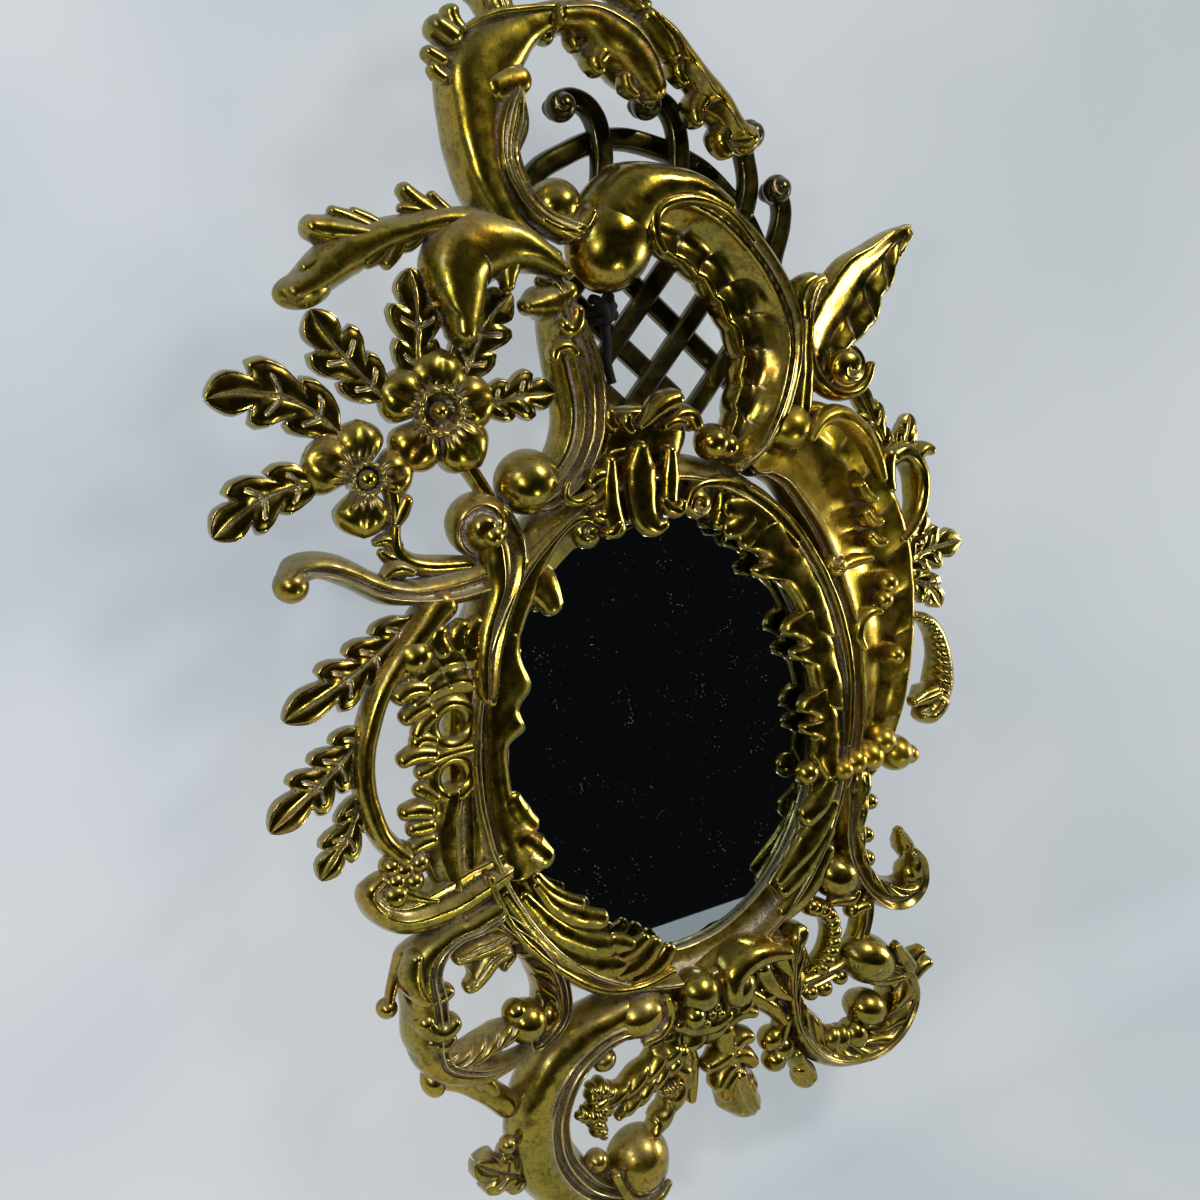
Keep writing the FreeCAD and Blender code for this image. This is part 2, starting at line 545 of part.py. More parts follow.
def left_pieces():
    """The shoulder, the arm scroll, the tendril and its leaves, and the pierced shellwork."""
    pieces = {}
    pieces["left_shoulder"] = one_piece([scroll(
        [(-0.80, 1.10), (-0.74, 0.98), (-0.76, 0.86), (-0.86, 0.70), (-0.96, 0.52),
         (-1.02, 0.36)],
        [(-1.00, 1.00), (-1.02, 0.90), (-1.02, 0.80), (-1.08, 0.68), (-1.12, 0.54),
         (-1.12, 0.40)])]
        + balls([(-0.97, 1.06, 0.16)]))
    pieces["left_arm_scroll"] = one_piece([carved(
        [(-0.96, 0.93), (-1.20, 0.90), (-1.40, 0.90), (-1.55, 0.96), (-1.68, 1.03),
         (-1.82, 1.065), (-1.94, 1.045), (-2.01, 0.98)],
        [(-0.98, 0.76), (-1.18, 0.76), (-1.37, 0.79), (-1.50, 0.81), (-1.62, 0.87),
         (-1.74, 0.935), (-1.83, 0.95), (-1.89, 0.93)],
        ARM_BACK_DEPTH, ARM_FRONT_DEPTH)]
        + bosses([(-1.94, 0.945, 0.075)], ARM_BACK_DEPTH, ARM_FRONT_DEPTH))
    pieces["left_tendril"] = one_piece([arm(
        [(-1.20, 0.79), (-1.38, 0.68), (-1.55, 0.53), (-1.66, 0.36), (-1.71, 0.18),
         (-1.71, 0.02), (-1.66, -0.11), (-1.59, -0.20)],
        [0.16, 0.14, 0.11, 0.11, 0.12])]
        + bosses([(-1.57, -0.24, 0.095)], ARM_BACK_DEPTH, ARM_FRONT_DEPTH))
    pieces["tendril_leaves"] = Part.makeCompound([
        leaf((-1.42, 0.70), (-2.06, 0.43), 0.25, 4, -0.04),
        leaf((-1.67, 0.38), (-2.20, 0.04), 0.26, 4, -0.04),
        leaf((-1.71, 0.10), (-2.01, -0.20), 0.20, 3, -0.04),
    ])
    shell = one_piece([scroll(
        [(-1.05, 0.66), (-1.10, 0.45), (-1.12, 0.25), (-1.13, 0.05), (-1.13, -0.12),
         (-1.12, -0.30)],
        [(-1.40, 0.66), (-1.40, 0.45), (-1.36, 0.25), (-1.40, 0.05), (-1.44, -0.12),
         (-1.42, -0.30)], 0.3)]
        + bosses([(-1.40, 0.61, 0.10), (-1.44, 0.45, 0.06), (-1.41, 0.33, 0.055),
                  (-1.42, 0.18, 0.07), (-1.47, -0.02, 0.065), (-1.48, -0.12, 0.065)],
                 ARM_BACK_DEPTH, ARM_FRONT_DEPTH))
    piercings = []
    for spot in ((-1.22, 0.26), (-1.24, 0.06)):
        start = at_depth(place(spot), -OVERRUN)
        piercings.append(Part.makeCylinder(
            PIERCING_DIAMETER * 0.5, BERRY_FRONT_DEPTH + OVERRUN * 2, start,
            FreeCAD.Vector(0, -1, 0)))
    pieces["left_shellwork"] = shell.cut(piercings)
    pieces["left_hip_scroll"] = one_piece([scroll(
        [(-1.72, -0.52), (-1.60, -0.55), (-1.50, -0.56), (-1.36, -0.54), (-1.24, -0.48),
         (-1.12, -0.40)],
        [(-1.66, -0.30), (-1.58, -0.32), (-1.50, -0.35), (-1.38, -0.36), (-1.24, -0.33),
         (-1.12, -0.28)])]
        + balls([(-1.69, -0.41, 0.155)]))
    return pieces


def lower_left_pieces():
    """The open wreath, its strut and the foot's C scroll."""
    pieces = {}
    pieces["foot_c_scroll"] = one_piece([scroll(
        [(-0.32, -1.11), (-0.45, -1.09), (-0.60, -1.10), (-0.75, -1.12), (-0.88, -1.16),
         (-1.00, -1.21), (-1.09, -1.29), (-1.16, -1.38), (-1.21, -1.49), (-1.23, -1.61),
         (-1.22, -1.72), (-1.18, -1.83), (-1.10, -1.94), (-0.98, -2.03), (-0.83, -2.10),
         (-0.68, -2.13)],
        [(-0.33, -1.34), (-0.42, -1.32), (-0.52, -1.30), (-0.62, -1.32), (-0.71, -1.36),
         (-0.78, -1.41), (-0.83, -1.47), (-0.86, -1.54), (-0.87, -1.61), (-0.86, -1.68),
         (-0.83, -1.75), (-0.79, -1.81), (-0.75, -1.86), (-0.70, -1.90), (-0.65, -1.93),
         (-0.60, -1.95)], 0.3),
        leaf((-1.08, -1.90), (-1.46, -1.74), 0.24, 3, 0.0, ARM_BACK_DEPTH, ARM_FRONT_DEPTH)]
        + balls([(-0.33, -1.27, 0.13), (-0.64, -1.35, 0.05), (-1.27, -1.58, 0.09),
                 (-1.34, -1.64, 0.08), (-0.75, -1.82, 0.085), (-0.50, -1.91, 0.20)]))
    pieces["wreath_left_band"] = one_piece([scroll(
        [(-1.16, -0.46), (-1.30, -0.49), (-1.45, -0.52), (-1.60, -0.56), (-1.68, -0.63),
         (-1.72, -0.73), (-1.69, -0.85), (-1.71, -0.97), (-1.69, -1.07), (-1.62, -1.15),
         (-1.52, -1.205), (-1.40, -1.235), (-1.28, -1.235), (-1.10, -1.20)],
        [(-1.14, -0.60), (-1.24, -0.61), (-1.34, -0.62), (-1.42, -0.66), (-1.46, -0.73),
         (-1.42, -0.80), (-1.43, -0.88), (-1.43, -0.95), (-1.46, -1.02), (-1.48, -1.07),
         (-1.42, -1.11), (-1.33, -1.13), (-1.22, -1.13), (-1.08, -1.11)])]
        + balls([(-1.48, -0.97, 0.075), (-1.33, -1.12, 0.06), (-1.22, -1.12, 0.06)]))
    pieces["wreath_right_band"] = one_piece([scroll(
        [(-1.12, -0.50), (-1.03, -0.58), (-0.94, -0.66), (-0.86, -0.77), (-0.80, -0.88),
         (-0.78, -0.98), (-0.80, -1.08), (-0.87, -1.15), (-0.97, -1.19)],
        [(-1.24, -0.60), (-1.16, -0.69), (-1.07, -0.75), (-1.02, -0.81), (-0.99, -0.88),
         (-0.97, -0.95), (-0.98, -1.01), (-1.01, -1.05), (-1.05, -1.08)])]
        + balls([(-1.09, -1.02, 0.085), (-1.03, -1.10, 0.10)]))
    inner_leaf = leaf(
        (-1.10, -0.66), (-1.36, -0.80), 0.22, 3, 0.0, ARM_BACK_DEPTH, ARM_FRONT_DEPTH)
    outer_bract = stem(
        [(-1.66, -0.60), (-1.74, -0.70), (-1.78, -0.81)], [0.10, 0.09, 0.11],
        LEAF_BACK_DEPTH, LEAF_FRONT_DEPTH)
    pieces["wreath_leaves"] = Part.makeCompound([inner_leaf, outer_bract])
    pieces["wreath_strut"] = stem(
        [(-1.55, -1.17), (-1.42, -1.24), (-1.30, -1.33), (-1.18, -1.44)],
        [0.14, 0.13, 0.14], LEAF_BACK_DEPTH, LEAF_FRONT_DEPTH)
    return pieces


def foot_pieces():
    """The cartouche below the oval, its pendant, twigs and berries."""
    pieces = {}
    pieces["foot_cartouche"] = one_piece([scroll(
        [(-0.28, -1.30), (-0.10, -1.15), (0.10, -1.06), (0.30, -1.02), (0.50, -1.04),
         (0.64, -1.08)],
        [(-0.26, -1.46), (-0.10, -1.50), (0.08, -1.52), (0.24, -1.47), (0.42, -1.45),
         (0.60, -1.46)])]
        + bosses([(0.0, -1.20, 0.12), (-0.08, -1.28, 0.08), (0.28, -1.19, 0.17)],
                 ARM_BACK_DEPTH, BERRY_FRONT_DEPTH + OVERRUN))
    pieces["foot_pendant"] = one_piece([stem(
        [(0.16, -1.46), (0.17, -1.60), (0.21, -1.75), (0.26, -1.89)],
        [0.16, 0.16, 0.28, 0.20], ARM_BACK_DEPTH, ARM_FRONT_DEPTH)]
        + bosses([(0.03, -1.59, 0.075), (0.06, -1.66, 0.07), (0.29, -1.55, 0.07),
                  (0.31, -1.62, 0.065)], ARM_BACK_DEPTH, ARM_FRONT_DEPTH))
    twig = one_piece([arm(
        [(-0.20, -1.44), (-0.35, -1.49), (-0.50, -1.55), (-0.66, -1.56), (-0.78, -1.54)],
        [0.12, 0.12, 0.13, 0.12])]
        + bosses([(-0.70, -1.50, 0.075), (-0.55, -1.61, 0.055), (-0.70, -1.63, 0.06)],
                 ARM_BACK_DEPTH, ARM_FRONT_DEPTH))
    branch = one_piece([arm(
        [(-0.16, -1.44), (-0.16, -1.56), (-0.20, -1.67), (-0.30, -1.76), (-0.38, -1.82)],
        [0.16, 0.14, 0.10, 0.10])]
        + bosses([(-0.13, -1.69, 0.055), (-0.27, -1.67, 0.05)],
                 ARM_BACK_DEPTH, ARM_FRONT_DEPTH))
    pieces["foot_twigs"] = Part.makeCompound([twig.cut(branch), branch])
    return pieces


def lower_right_pieces():
    """The right foot scroll, the hook scroll and the small twigs behind them."""
    pieces = {}
    pieces["right_foot_scroll"] = one_piece([scroll(
        [(0.60, -1.10), (0.56, -1.30), (0.56, -1.46), (0.59, -1.60), (0.66, -1.72),
         (0.76, -1.81), (0.90, -1.87), (1.07, -1.90), (1.25, -1.895), (1.40, -1.84),
         (1.50, -1.76), (1.57, -1.66), (1.575, -1.55), (1.52, -1.45), (1.42, -1.385),
         (1.30, -1.36)],
        [(0.74, -1.10), (0.68, -1.26), (0.68, -1.40), (0.74, -1.50), (0.82, -1.59),
         (0.90, -1.67), (0.98, -1.72), (1.07, -1.75), (1.17, -1.75), (1.25, -1.72),
         (1.30, -1.68), (1.33, -1.63), (1.33, -1.58), (1.29, -1.54), (1.24, -1.51),
         (1.19, -1.47)]),
        stem([(1.46, -1.42), (1.40, -1.36), (1.36, -1.30)], [0.12, 0.10, 0.05],
             LEAF_FRONT_DEPTH, BERRY_FRONT_DEPTH)]
        + balls([(1.19, -1.70, 0.11), (1.30, -1.46, 0.14), (1.20, -1.42, 0.07),
                 (1.60, -1.48, 0.07)]))
    pieces["right_foot_pendants"] = one_piece(bosses(
        [(0.56, -1.64, 0.10), (0.48, -1.58, 0.075), (0.48, -1.69, 0.075),
         (0.64, -1.76, 0.075), (0.70, -1.85, 0.085)],
        ARM_BACK_DEPTH, ARM_FRONT_DEPTH))
    pieces["right_hook_scroll"] = one_piece([scroll(
        [(1.08, -0.44), (1.06, -0.60), (1.05, -0.76), (1.10, -0.90), (1.19, -1.02),
         (1.29, -1.11), (1.41, -1.17), (1.54, -1.175), (1.64, -1.12), (1.68, -1.02),
         (1.66, -0.93), (1.60, -0.86)],
        [(1.34, -0.44), (1.27, -0.58), (1.22, -0.70), (1.23, -0.84), (1.30, -0.94),
         (1.38, -1.00), (1.45, -1.03), (1.50, -1.03), (1.52, -1.00), (1.53, -0.96),
         (1.52, -0.92), (1.51, -0.88)]),
        stem([(1.60, -0.93), (1.56, -0.84), (1.50, -0.77)], [0.10, 0.09, 0.06],
             LEAF_BACK_DEPTH, LEAF_FRONT_DEPTH)]
        + balls([(1.30, -0.57, 0.05), (1.24, -0.73, 0.05), (1.25, -0.84, 0.05)]))
    pieces["right_boss"] = boss((1.00, -0.91), 0.15, SCROLL_BACK_DEPTH, BERRY_FRONT_DEPTH)
    ring = arm(
        [(0.84, -1.00), (0.93, -1.07), (0.95, -1.18), (0.91, -1.29), (0.82, -1.35)],
        [0.12, 0.11, 0.11])
    twig = one_piece([arm(
        [(1.20, -1.06), (1.19, -1.18), (1.11, -1.29), (0.98, -1.35), (0.84, -1.38),
         (0.70, -1.40)],
        [0.12, 0.11, 0.11])]
        + bosses([(1.13, -1.09, 0.06), (1.17, -1.34, 0.06), (1.07, -1.39, 0.055),
                  (0.93, -1.41, 0.055), (0.82, -1.44, 0.06)],
                 ARM_BACK_DEPTH, ARM_FRONT_DEPTH))
    pieces["right_twigs"] = Part.makeCompound([ring, twig.cut(ring)])
    return pieces


def right_pieces():
    """The tall cove scroll, the wing leaf and the sprigs at its outer edge."""
    pieces = {}
    pieces["cove_scroll"] = one_piece([scroll(
        [(0.86, 1.28), (1.05, 1.36), (1.25, 1.31), (1.40, 1.20), (1.52, 1.06),
         (1.62, 0.90), (1.70, 0.72), (1.73, 0.50), (1.72, 0.30), (1.68, 0.10),
         (1.60, -0.12), (1.48, -0.30), (1.35, -0.42), (1.20, -0.48)],
        [(0.70, 1.06), (0.80, 1.00), (0.88, 0.90), (0.96, 0.80), (1.03, 0.68),
         (1.09, 0.55), (1.14, 0.42), (1.18, 0.30), (1.20, 0.18), (1.20, 0.06),
         (1.20, -0.08), (1.18, -0.20), (1.14, -0.32), (1.08, -0.42)], 0.12)]
        + balls([(1.50, -0.38, 0.12), (1.00, 1.25, 0.14)]))
    pieces["right_wing_leaf"] = one_piece([carved(
        [(1.06, 1.46), (1.08, 1.68), (1.13, 1.80), (1.25, 1.88), (1.38, 1.97),
         (1.52, 2.00), (1.66, 2.03), (1.80, 2.07)],
        [(1.22, 1.44), (1.32, 1.56), (1.42, 1.58), (1.52, 1.61), (1.62, 1.69),
         (1.68, 1.78), (1.76, 1.86), (1.84, 1.97)],
        ARM_BACK_DEPTH, ARM_FRONT_DEPTH)]
        + bosses([(1.28, 1.47, 0.17)], ARM_BACK_DEPTH, BERRY_FRONT_DEPTH))
    pieces["right_wing_stem"] = one_piece([arm(
        [(1.00, 1.32), (1.03, 1.45), (1.05, 1.60), (1.07, 1.74)], [0.12, 0.10, 0.09])]
        + bosses([(1.10, 1.81, 0.09), (1.17, 1.86, 0.06)], ARM_BACK_DEPTH, ARM_FRONT_DEPTH))
    pieces["right_upper_sprig"] = one_piece([arm(
        [(1.62, 0.66), (1.76, 0.69), (1.87, 0.79), (1.90, 0.92), (1.80, 1.02),
         (1.68, 1.06), (1.58, 1.20), (1.50, 1.37)],
        [0.10, 0.10, 0.16, 0.20, 0.16, 0.09])]
        + bosses([(1.64, 0.96, 0.10), (1.84, 1.16, 0.09), (1.91, 1.07, 0.05),
                  (1.75, 1.13, 0.08)], ARM_BACK_DEPTH, ARM_FRONT_DEPTH))
    pieces["right_middle_sprig"] = one_piece([
        leaf((1.66, 0.48), (2.26, 0.50), 0.30, 3, 0.0),
        leaf((1.68, 0.52), (1.97, 0.68), 0.20, 2, 0.0),
        leaf((1.68, 0.44), (1.96, 0.28), 0.20, 2, 0.0)])
    pieces["right_lower_sprig"] = arm(
        [(1.66, 0.34), (1.80, 0.26), (1.91, 0.12), (1.94, -0.05), (1.90, -0.18),
         (1.80, -0.21), (1.68, -0.17)],
        [0.10, 0.10, 0.12, 0.18, 0.09])
    return pieces


def middle_pieces():
    """The cartouche over the oval and the volutes of the ring's inner edge."""
    pieces = {}
    pieces["head_cartouche"] = one_piece([
        scroll(
            [(-0.22, 1.46), (-0.27, 1.30), (-0.33, 1.17), (-0.31, 1.06), (-0.28, 0.97)],
            [(0.38, 1.36), (0.40, 1.26), (0.38, 1.14), (0.26, 1.06), (0.16, 0.97)]),
        stem([(0.0, 1.22), (0.0, 1.08), (0.01, 0.98), (0.06, 0.92)], [0.12, 0.11, 0.10],
             ARM_FRONT_DEPTH, BERRY_FRONT_DEPTH + OVERRUN),
        stem([(-0.20, 1.18), (-0.19, 1.06), (-0.19, 0.94)], [0.12, 0.13, 0.13],
             ARM_FRONT_DEPTH, BERRY_FRONT_DEPTH + OVERRUN),
        stem([(-0.06, 1.38), (0.04, 1.42), (0.13, 1.47), (0.22, 1.47)],
             [0.08, 0.12, 0.17, 0.20], ARM_BACK_DEPTH, BERRY_FRONT_DEPTH + OVERRUN)])
    pieces["left_inner_volute"] = one_piece([stem(
        [(-0.84, 0.66), (-0.72, 0.82), (-0.58, 0.93), (-0.44, 0.98), (-0.33, 0.95)],
        [0.10, 0.12, 0.12, 0.10], LIP_FRONT_DEPTH, ARM_FRONT_DEPTH)]
        + bosses([(-0.34, 0.93, 0.085)], LIP_FRONT_DEPTH, ARM_FRONT_DEPTH))
    pieces["right_inner_volute"] = one_piece([stem(
        [(0.34, 0.99), (0.46, 1.02), (0.60, 0.98), (0.74, 0.88), (0.88, 0.74)],
        [0.10, 0.12, 0.12, 0.10], LIP_FRONT_DEPTH, ARM_FRONT_DEPTH)]
        + bosses([(0.34, 0.98, 0.095)], LIP_FRONT_DEPTH, ARM_FRONT_DEPTH))
    return pieces


def border_pieces():
    """Leaf strips that line the sight, laid on the ring's lip."""
    table = {
        "border_leaf_left": (146.0, 214.0, 3, 0.12),
        "border_leaf_lower_left": (215.0, 262.0, 4, 0.10),
        "border_leaf_lower_right": (278.0, 330.0, 4, 0.10),
        "border_leaf_right": (331.0, 401.0, 5, 0.12),
    }
    return {name: border_piece(*row) for name, row in table.items()}


# The pieces that each carving is fitted against; it is pared away where they stand.
# For this, the ring counts as a solid block, so no carving reaches in behind the glass.
SEATS = {
    "head_cartouche": ["oval_frame"],
    "left_inner_volute": ["oval_frame", "head_cartouche", "border_leaf_left"],
    "right_inner_volute": ["oval_frame", "head_cartouche", "border_leaf_right"],
    "crest_c_scroll": ["oval_frame", "head_cartouche"],
    "crest_leaf_flange": ["crest_leaf_stem", "crest_c_scroll"],
    "crest_leaf_head": ["crest_leaf_stem"],
    "crest_leaf_tail": ["crest_leaf_head"],
    "crest_top_leaf": ["crest_leaf_stem", "crest_leaf_head"],
    "cove_scroll": ["oval_frame", "crest_c_scroll"],
    "right_wing_leaf": ["crest_c_scroll", "cove_scroll"],
    "right_wing_stem": ["crest_c_scroll", "cove_scroll", "right_wing_leaf"],
    "right_upper_sprig": ["cove_scroll"],
    "right_middle_sprig": ["cove_scroll"],
    "right_lower_sprig": ["cove_scroll"],
    "left_shoulder": ["oval_frame", "border_leaf_left"],
    "left_arm_scroll": ["left_shoulder"],
    "left_tendril": ["left_shoulder", "left_arm_scroll"],
    "tendril_leaves": ["left_tendril"],
    "left_shellwork": ["oval_frame", "left_shoulder", "left_arm_scroll", "left_tendril"],
    "left_hip_scroll": ["oval_frame", "left_shellwork", "left_tendril"],
    "ribbed_c_scroll": ["oval_frame", "head_cartouche", "left_inner_volute", "left_shoulder"],
    "wing_acanthus": ["ribbed_c_scroll", "crest_leaf_stem", "crest_leaf_flange"],
    "small_flower": ["large_flower"],
    "spray_leaves_left": ["small_flower", "large_flower"],
    "spray_leaves_right": ["large_flower", "wing_acanthus", "ribbed_c_scroll"],
    "spray_stems": [
        "small_flower", "large_flower", "left_arm_scroll", "left_shoulder",
        "ribbed_c_scroll"],
    "foot_c_scroll": ["oval_frame"],
    "wreath_left_band": ["oval_frame", "left_hip_scroll"],
    "wreath_right_band": [
        "oval_frame", "wreath_left_band", "left_hip_scroll", "foot_c_scroll"],
    "wreath_leaves": ["wreath_left_band", "wreath_right_band", "left_hip_scroll"],
    "wreath_strut": ["wreath_left_band", "foot_c_scroll"],
    "foot_cartouche": ["oval_frame", "foot_c_scroll", "border_leaf_lower_right"],
    "foot_pendant": ["foot_cartouche"],
    "foot_twigs": ["foot_cartouche", "foot_c_scroll"],
    "right_foot_scroll": ["oval_frame", "foot_cartouche"],
    "right_foot_pendants": ["right_foot_scroll"],
    "right_hook_scroll": ["oval_frame", "cove_scroll"],
    "right_boss": ["oval_frame", "right_hook_scroll", "right_foot_scroll"],
    "right_twigs": [
        "oval_frame", "right_boss", "right_foot_scroll", "right_hook_scroll", "foot_cartouche"],
    "knobbed_bars": ["lattice_rising_bars", "crest_leaf_tail"],
    "cord_tail": ["cord_knot"],
}


def fitted(name, shape, seats):
    """Carvings pared against their seats; chips that a cut leaves are dropped."""
    if name not in SEATS:
        return shape
    cutters = [seats[seat] for seat in SEATS[name]]
    kept = []
    for solid in shape.Solids:
        cut = solid.cut(cutters)
        kept.append(max(cut.Solids, key=lambda chip: chip.Volume))
    return kept[0] if len(kept) == 1 else Part.makeCompound(kept)


def cord_pieces():
    """The knot on the lattice and the tail that hangs from it."""
    radius_share = CORD_KNOT_DIAMETER * 0.5 / SIGHT_HALF_WIDTH
    knot = boss(
        CORD_KNOT_SHARES, radius_share, SCROLL_BACK_DEPTH,
        SCROLL_BACK_DEPTH + CORD_KNOT_THICKNESS)
    return {"cord_knot": knot, "cord_tail": cord_tail()}


def build():
    """All pieces by name; each carving is fitted against those made before it."""
    brads = oval_brads()
    plate, nail, screws = hanging_plate_parts()
    made = {
        "oval_frame": oval_frame(brads, plate, nail, screws),
        "mirror_glass": mirror_glass(),
        "backboard": backboard(),
        "backboard_brads": Part.makeCompound(brads),
        "hanging_plate": plate.cut([nail] + screws).Solids[0],
        "hanging_screws": Part.makeCompound(screws),
    }
    seats = dict(made, oval_frame=ring_block())
    groups = [
        border_pieces(), middle_pieces(), crest_pieces(), right_pieces(), left_pieces(),
        upper_left_pieces(), lower_left_pieces(), foot_pieces(), lower_right_pieces(),
        lattice_pieces(), cord_pieces(),
    ]
    for group in groups:
        for name, shape in group.items():
            made[name] = fitted(name, shape, seats)
            seats[name] = made[name]
    return made


os.makedirs("parts", exist_ok=True)
for node, shape in build().items():
    print(node, shape.ShapeType, len(shape.Solids), len(shape.Faces), round(shape.Volume),
          shape.isValid())
    shape.exportStep("parts/" + node + ".step")
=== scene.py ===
"""Rococo wall mirror: carved and gilded scrollwork round an oval glass.

Metres, +Z up, the front faces -Y and the wall is the plane Y = 0. Places on the carving are drawn
in hundredths of the sight oval's two half axes, widths and radii in hundredths of its half width.
A depth is a distance from the wall, and a drawn shape gives its depths in millimetres.
"""

import bpy
import numpy as np
from mathutils import Matrix


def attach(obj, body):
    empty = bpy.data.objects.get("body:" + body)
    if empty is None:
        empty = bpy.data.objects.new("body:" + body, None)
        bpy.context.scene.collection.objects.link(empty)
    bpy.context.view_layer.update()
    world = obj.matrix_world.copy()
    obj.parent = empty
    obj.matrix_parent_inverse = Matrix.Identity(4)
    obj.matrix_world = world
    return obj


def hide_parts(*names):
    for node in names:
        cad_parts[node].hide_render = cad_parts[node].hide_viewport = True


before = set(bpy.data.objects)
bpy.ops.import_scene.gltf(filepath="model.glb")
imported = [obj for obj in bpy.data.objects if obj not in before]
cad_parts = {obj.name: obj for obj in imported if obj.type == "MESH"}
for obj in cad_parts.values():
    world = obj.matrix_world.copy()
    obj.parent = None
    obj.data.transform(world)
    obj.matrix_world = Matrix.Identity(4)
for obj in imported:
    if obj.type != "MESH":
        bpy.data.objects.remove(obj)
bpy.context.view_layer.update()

MM = 0.001
HALF_WIDTH = 100 * MM
HALF_HEIGHT = 125 * MM

# One hundredth of each half axis: the unit of all that is drawn
UNIT = np.array([HALF_WIDTH, HALF_HEIGHT]) / 100

# Depths of the carving, from its back to its front, in millimetres
BACK = 12
SCROLL = (BACK, 40)
ARM = (14, 36)
BERRY_FRONT = 42
PETAL = (17, 33)

# Mesh density: rows along a carved band and columns across it, of which it gets the share
# FINENESS, the rows of its round ends, and the spots along the edges of a stem
ROWS = 170
COLUMNS = 64
FINENESS = 0.70
END_ROWS = 7
EDGE_SPOTS = 60
LEAF_ROWS, LEAF_COLUMNS = 120, 47
PETAL_ROWS, PETAL_COLUMNS = 46, 45
RING_COLUMNS = 360
STRAND_ROWS, STRAND_SIDES, STRAND_END_ROWS = 48, 16, 5

# A carved band: the share of its depth at which its front begins, then its flat back, as places
# across it and their depths as shares of the way to the front's beginning
WAIST = 0.34
BACK_SHARES = (0.96, 0.86, 0.70, 0.0, -0.70, -0.86, -0.96)
BACK_DEPTH_SHARES = (0.55, 0.15, 0.0, 0.0, 0.0, 0.15, 0.55)

# A stem's last width is at least this share of the one before
BLUNT_END = 0.55

# A leaf's blade: its thickness, and how far it dips towards both ends
LEAF_THICKNESS = 2.0 * MM
LEAF_DIP = 0.25


def drawn(spots):
    """Drawn spots as metres across and up: hundredths times those of the sight's half axes."""
    return np.asarray(spots, float) * UNIT


def through(points, count):
    """Natural cubic spline through the points by chord length, sampled evenly along its length.

    The second derivatives solve the usual three-term system, with zeros at both ends.
    """
    points = np.asarray(points, float)
    chord = np.r_[0, np.cumsum(np.linalg.norm(np.diff(points, axis=0), axis=1))]
    gap = np.diff(chord)
    size = len(points)
    system = np.eye(size)
    right = np.zeros_like(points)
    inner = np.arange(1, size - 1)
    system[inner, inner - 1] = gap[:-1]
    system[inner, inner] = 2 * (gap[:-1] + gap[1:])
    system[inner, inner + 1] = gap[1:]
    slope = np.diff(points, axis=0) / gap[:, None]
    right[inner] = 6 * np.diff(slope, axis=0)
    bend = np.linalg.solve(system, right)
    at = np.linspace(0, chord[-1], count * 12)
    span = np.clip(np.searchsorted(chord, at, "right") - 1, 0, size - 2)
    before = (at - chord[span])[:, None]
    after = (chord[span + 1] - at)[:, None]
    wide = gap[span][:, None]
    fine = bend[span] * after ** 3 / (6 * wide) + bend[span + 1] * before ** 3 / (6 * wide)
    fine += (points[span] / wide - bend[span] * wide / 6) * after
    fine += (points[span + 1] / wide - bend[span + 1] * wide / 6) * before
    arc = np.r_[0, np.cumsum(np.linalg.norm(np.diff(fine, axis=0), axis=1))]
    even = np.linspace(0, arc[-1], count)
    return np.stack([np.interp(even, arc, fine[:, k]) for k in range(fine.shape[1])], axis=1)


def smoothstep(low, high, x):
    """The curve 3s^2 - 2s^3 of x between two limits."""
    s = np.clip((x - low) / (high - low), 0, 1)
    return s * s * (3 - 2 * s)


def window(start, stop, fade, x):
    """One between two limits of x and zero outside, with a smooth step just inside each limit."""
    return smoothstep(start, start + fade, x) * (1 - smoothstep(stop - fade, stop, x))


def lobes(phase, sharpness=0.6):
    """Rounded lobes with sharp valleys between: |sin(pi phase)| to a power."""
    return np.abs(np.sin(np.pi * phase)) ** sharpness


def unit(vectors):
    """Vectors brought to length one."""
    return vectors / np.linalg.norm(vectors, axis=-1, keepdims=True)


def around(count):
    """Angles spread evenly round a full turn."""
    return np.linspace(0, 2 * np.pi, count, endpoint=False)


def as_points(across, up, depth):
    """Grid of points from three arrays; a depth is along -Y."""
    return np.stack([across, -depth, up], axis=-1)


def blade(across, up, depth, under):
    """Grid of a thin form: its face, then its underside back to the first edge."""
    face = as_points(across, up, depth)
    rear = as_points(across, up, under)[:, ::-1]
    return np.concatenate([face, rear[:, 1:-1]], axis=1)


def relief(crown=0.85, roundness=3.0, ridges=(), coves=(), ruffles=(), beads=(), after=-1.0):
    """Height share of a carved front, across u (-1 to 1) and along t (0 to 1).

    It is a flattened dome, plus ridges, which are bell curves across u, less coves, which are
    half waves between two u, plus ruffles, which are rows of lobes along t in a window of u, plus
    beads, which are lobes along t under a bell curve of u. All of it falls to zero at both edges.
    Coves deepen where t passes the share named after.
    """
    def height(t, u):
        share = crown * (1 - np.abs(u) ** roundness) ** (1 / roundness)
        for place, width, rise in ridges:
            share = share + rise * np.exp(-((u - place) / width) ** 2)
        for start, stop, depth in coves:
            inside = np.clip((u - start) / (stop - start), 0, 1)
            deepened = smoothstep(after - 0.1, after + 0.1, t)
            share = share - depth * np.sin(np.pi * inside) * deepened
        for count, start, stop, rise, slant in ruffles:
            wave = lobes(count * t + slant * (u - start)) - 0.5
            share = share + rise * window(start, stop, 0.15, u) * wave
        for count, place, width, rise in beads:
            share = share + rise * np.exp(-((u - place) / width) ** 2) * lobes(count * t, 0.5)
        return share * (1 - np.abs(u) ** 12) ** 0.5
    return height


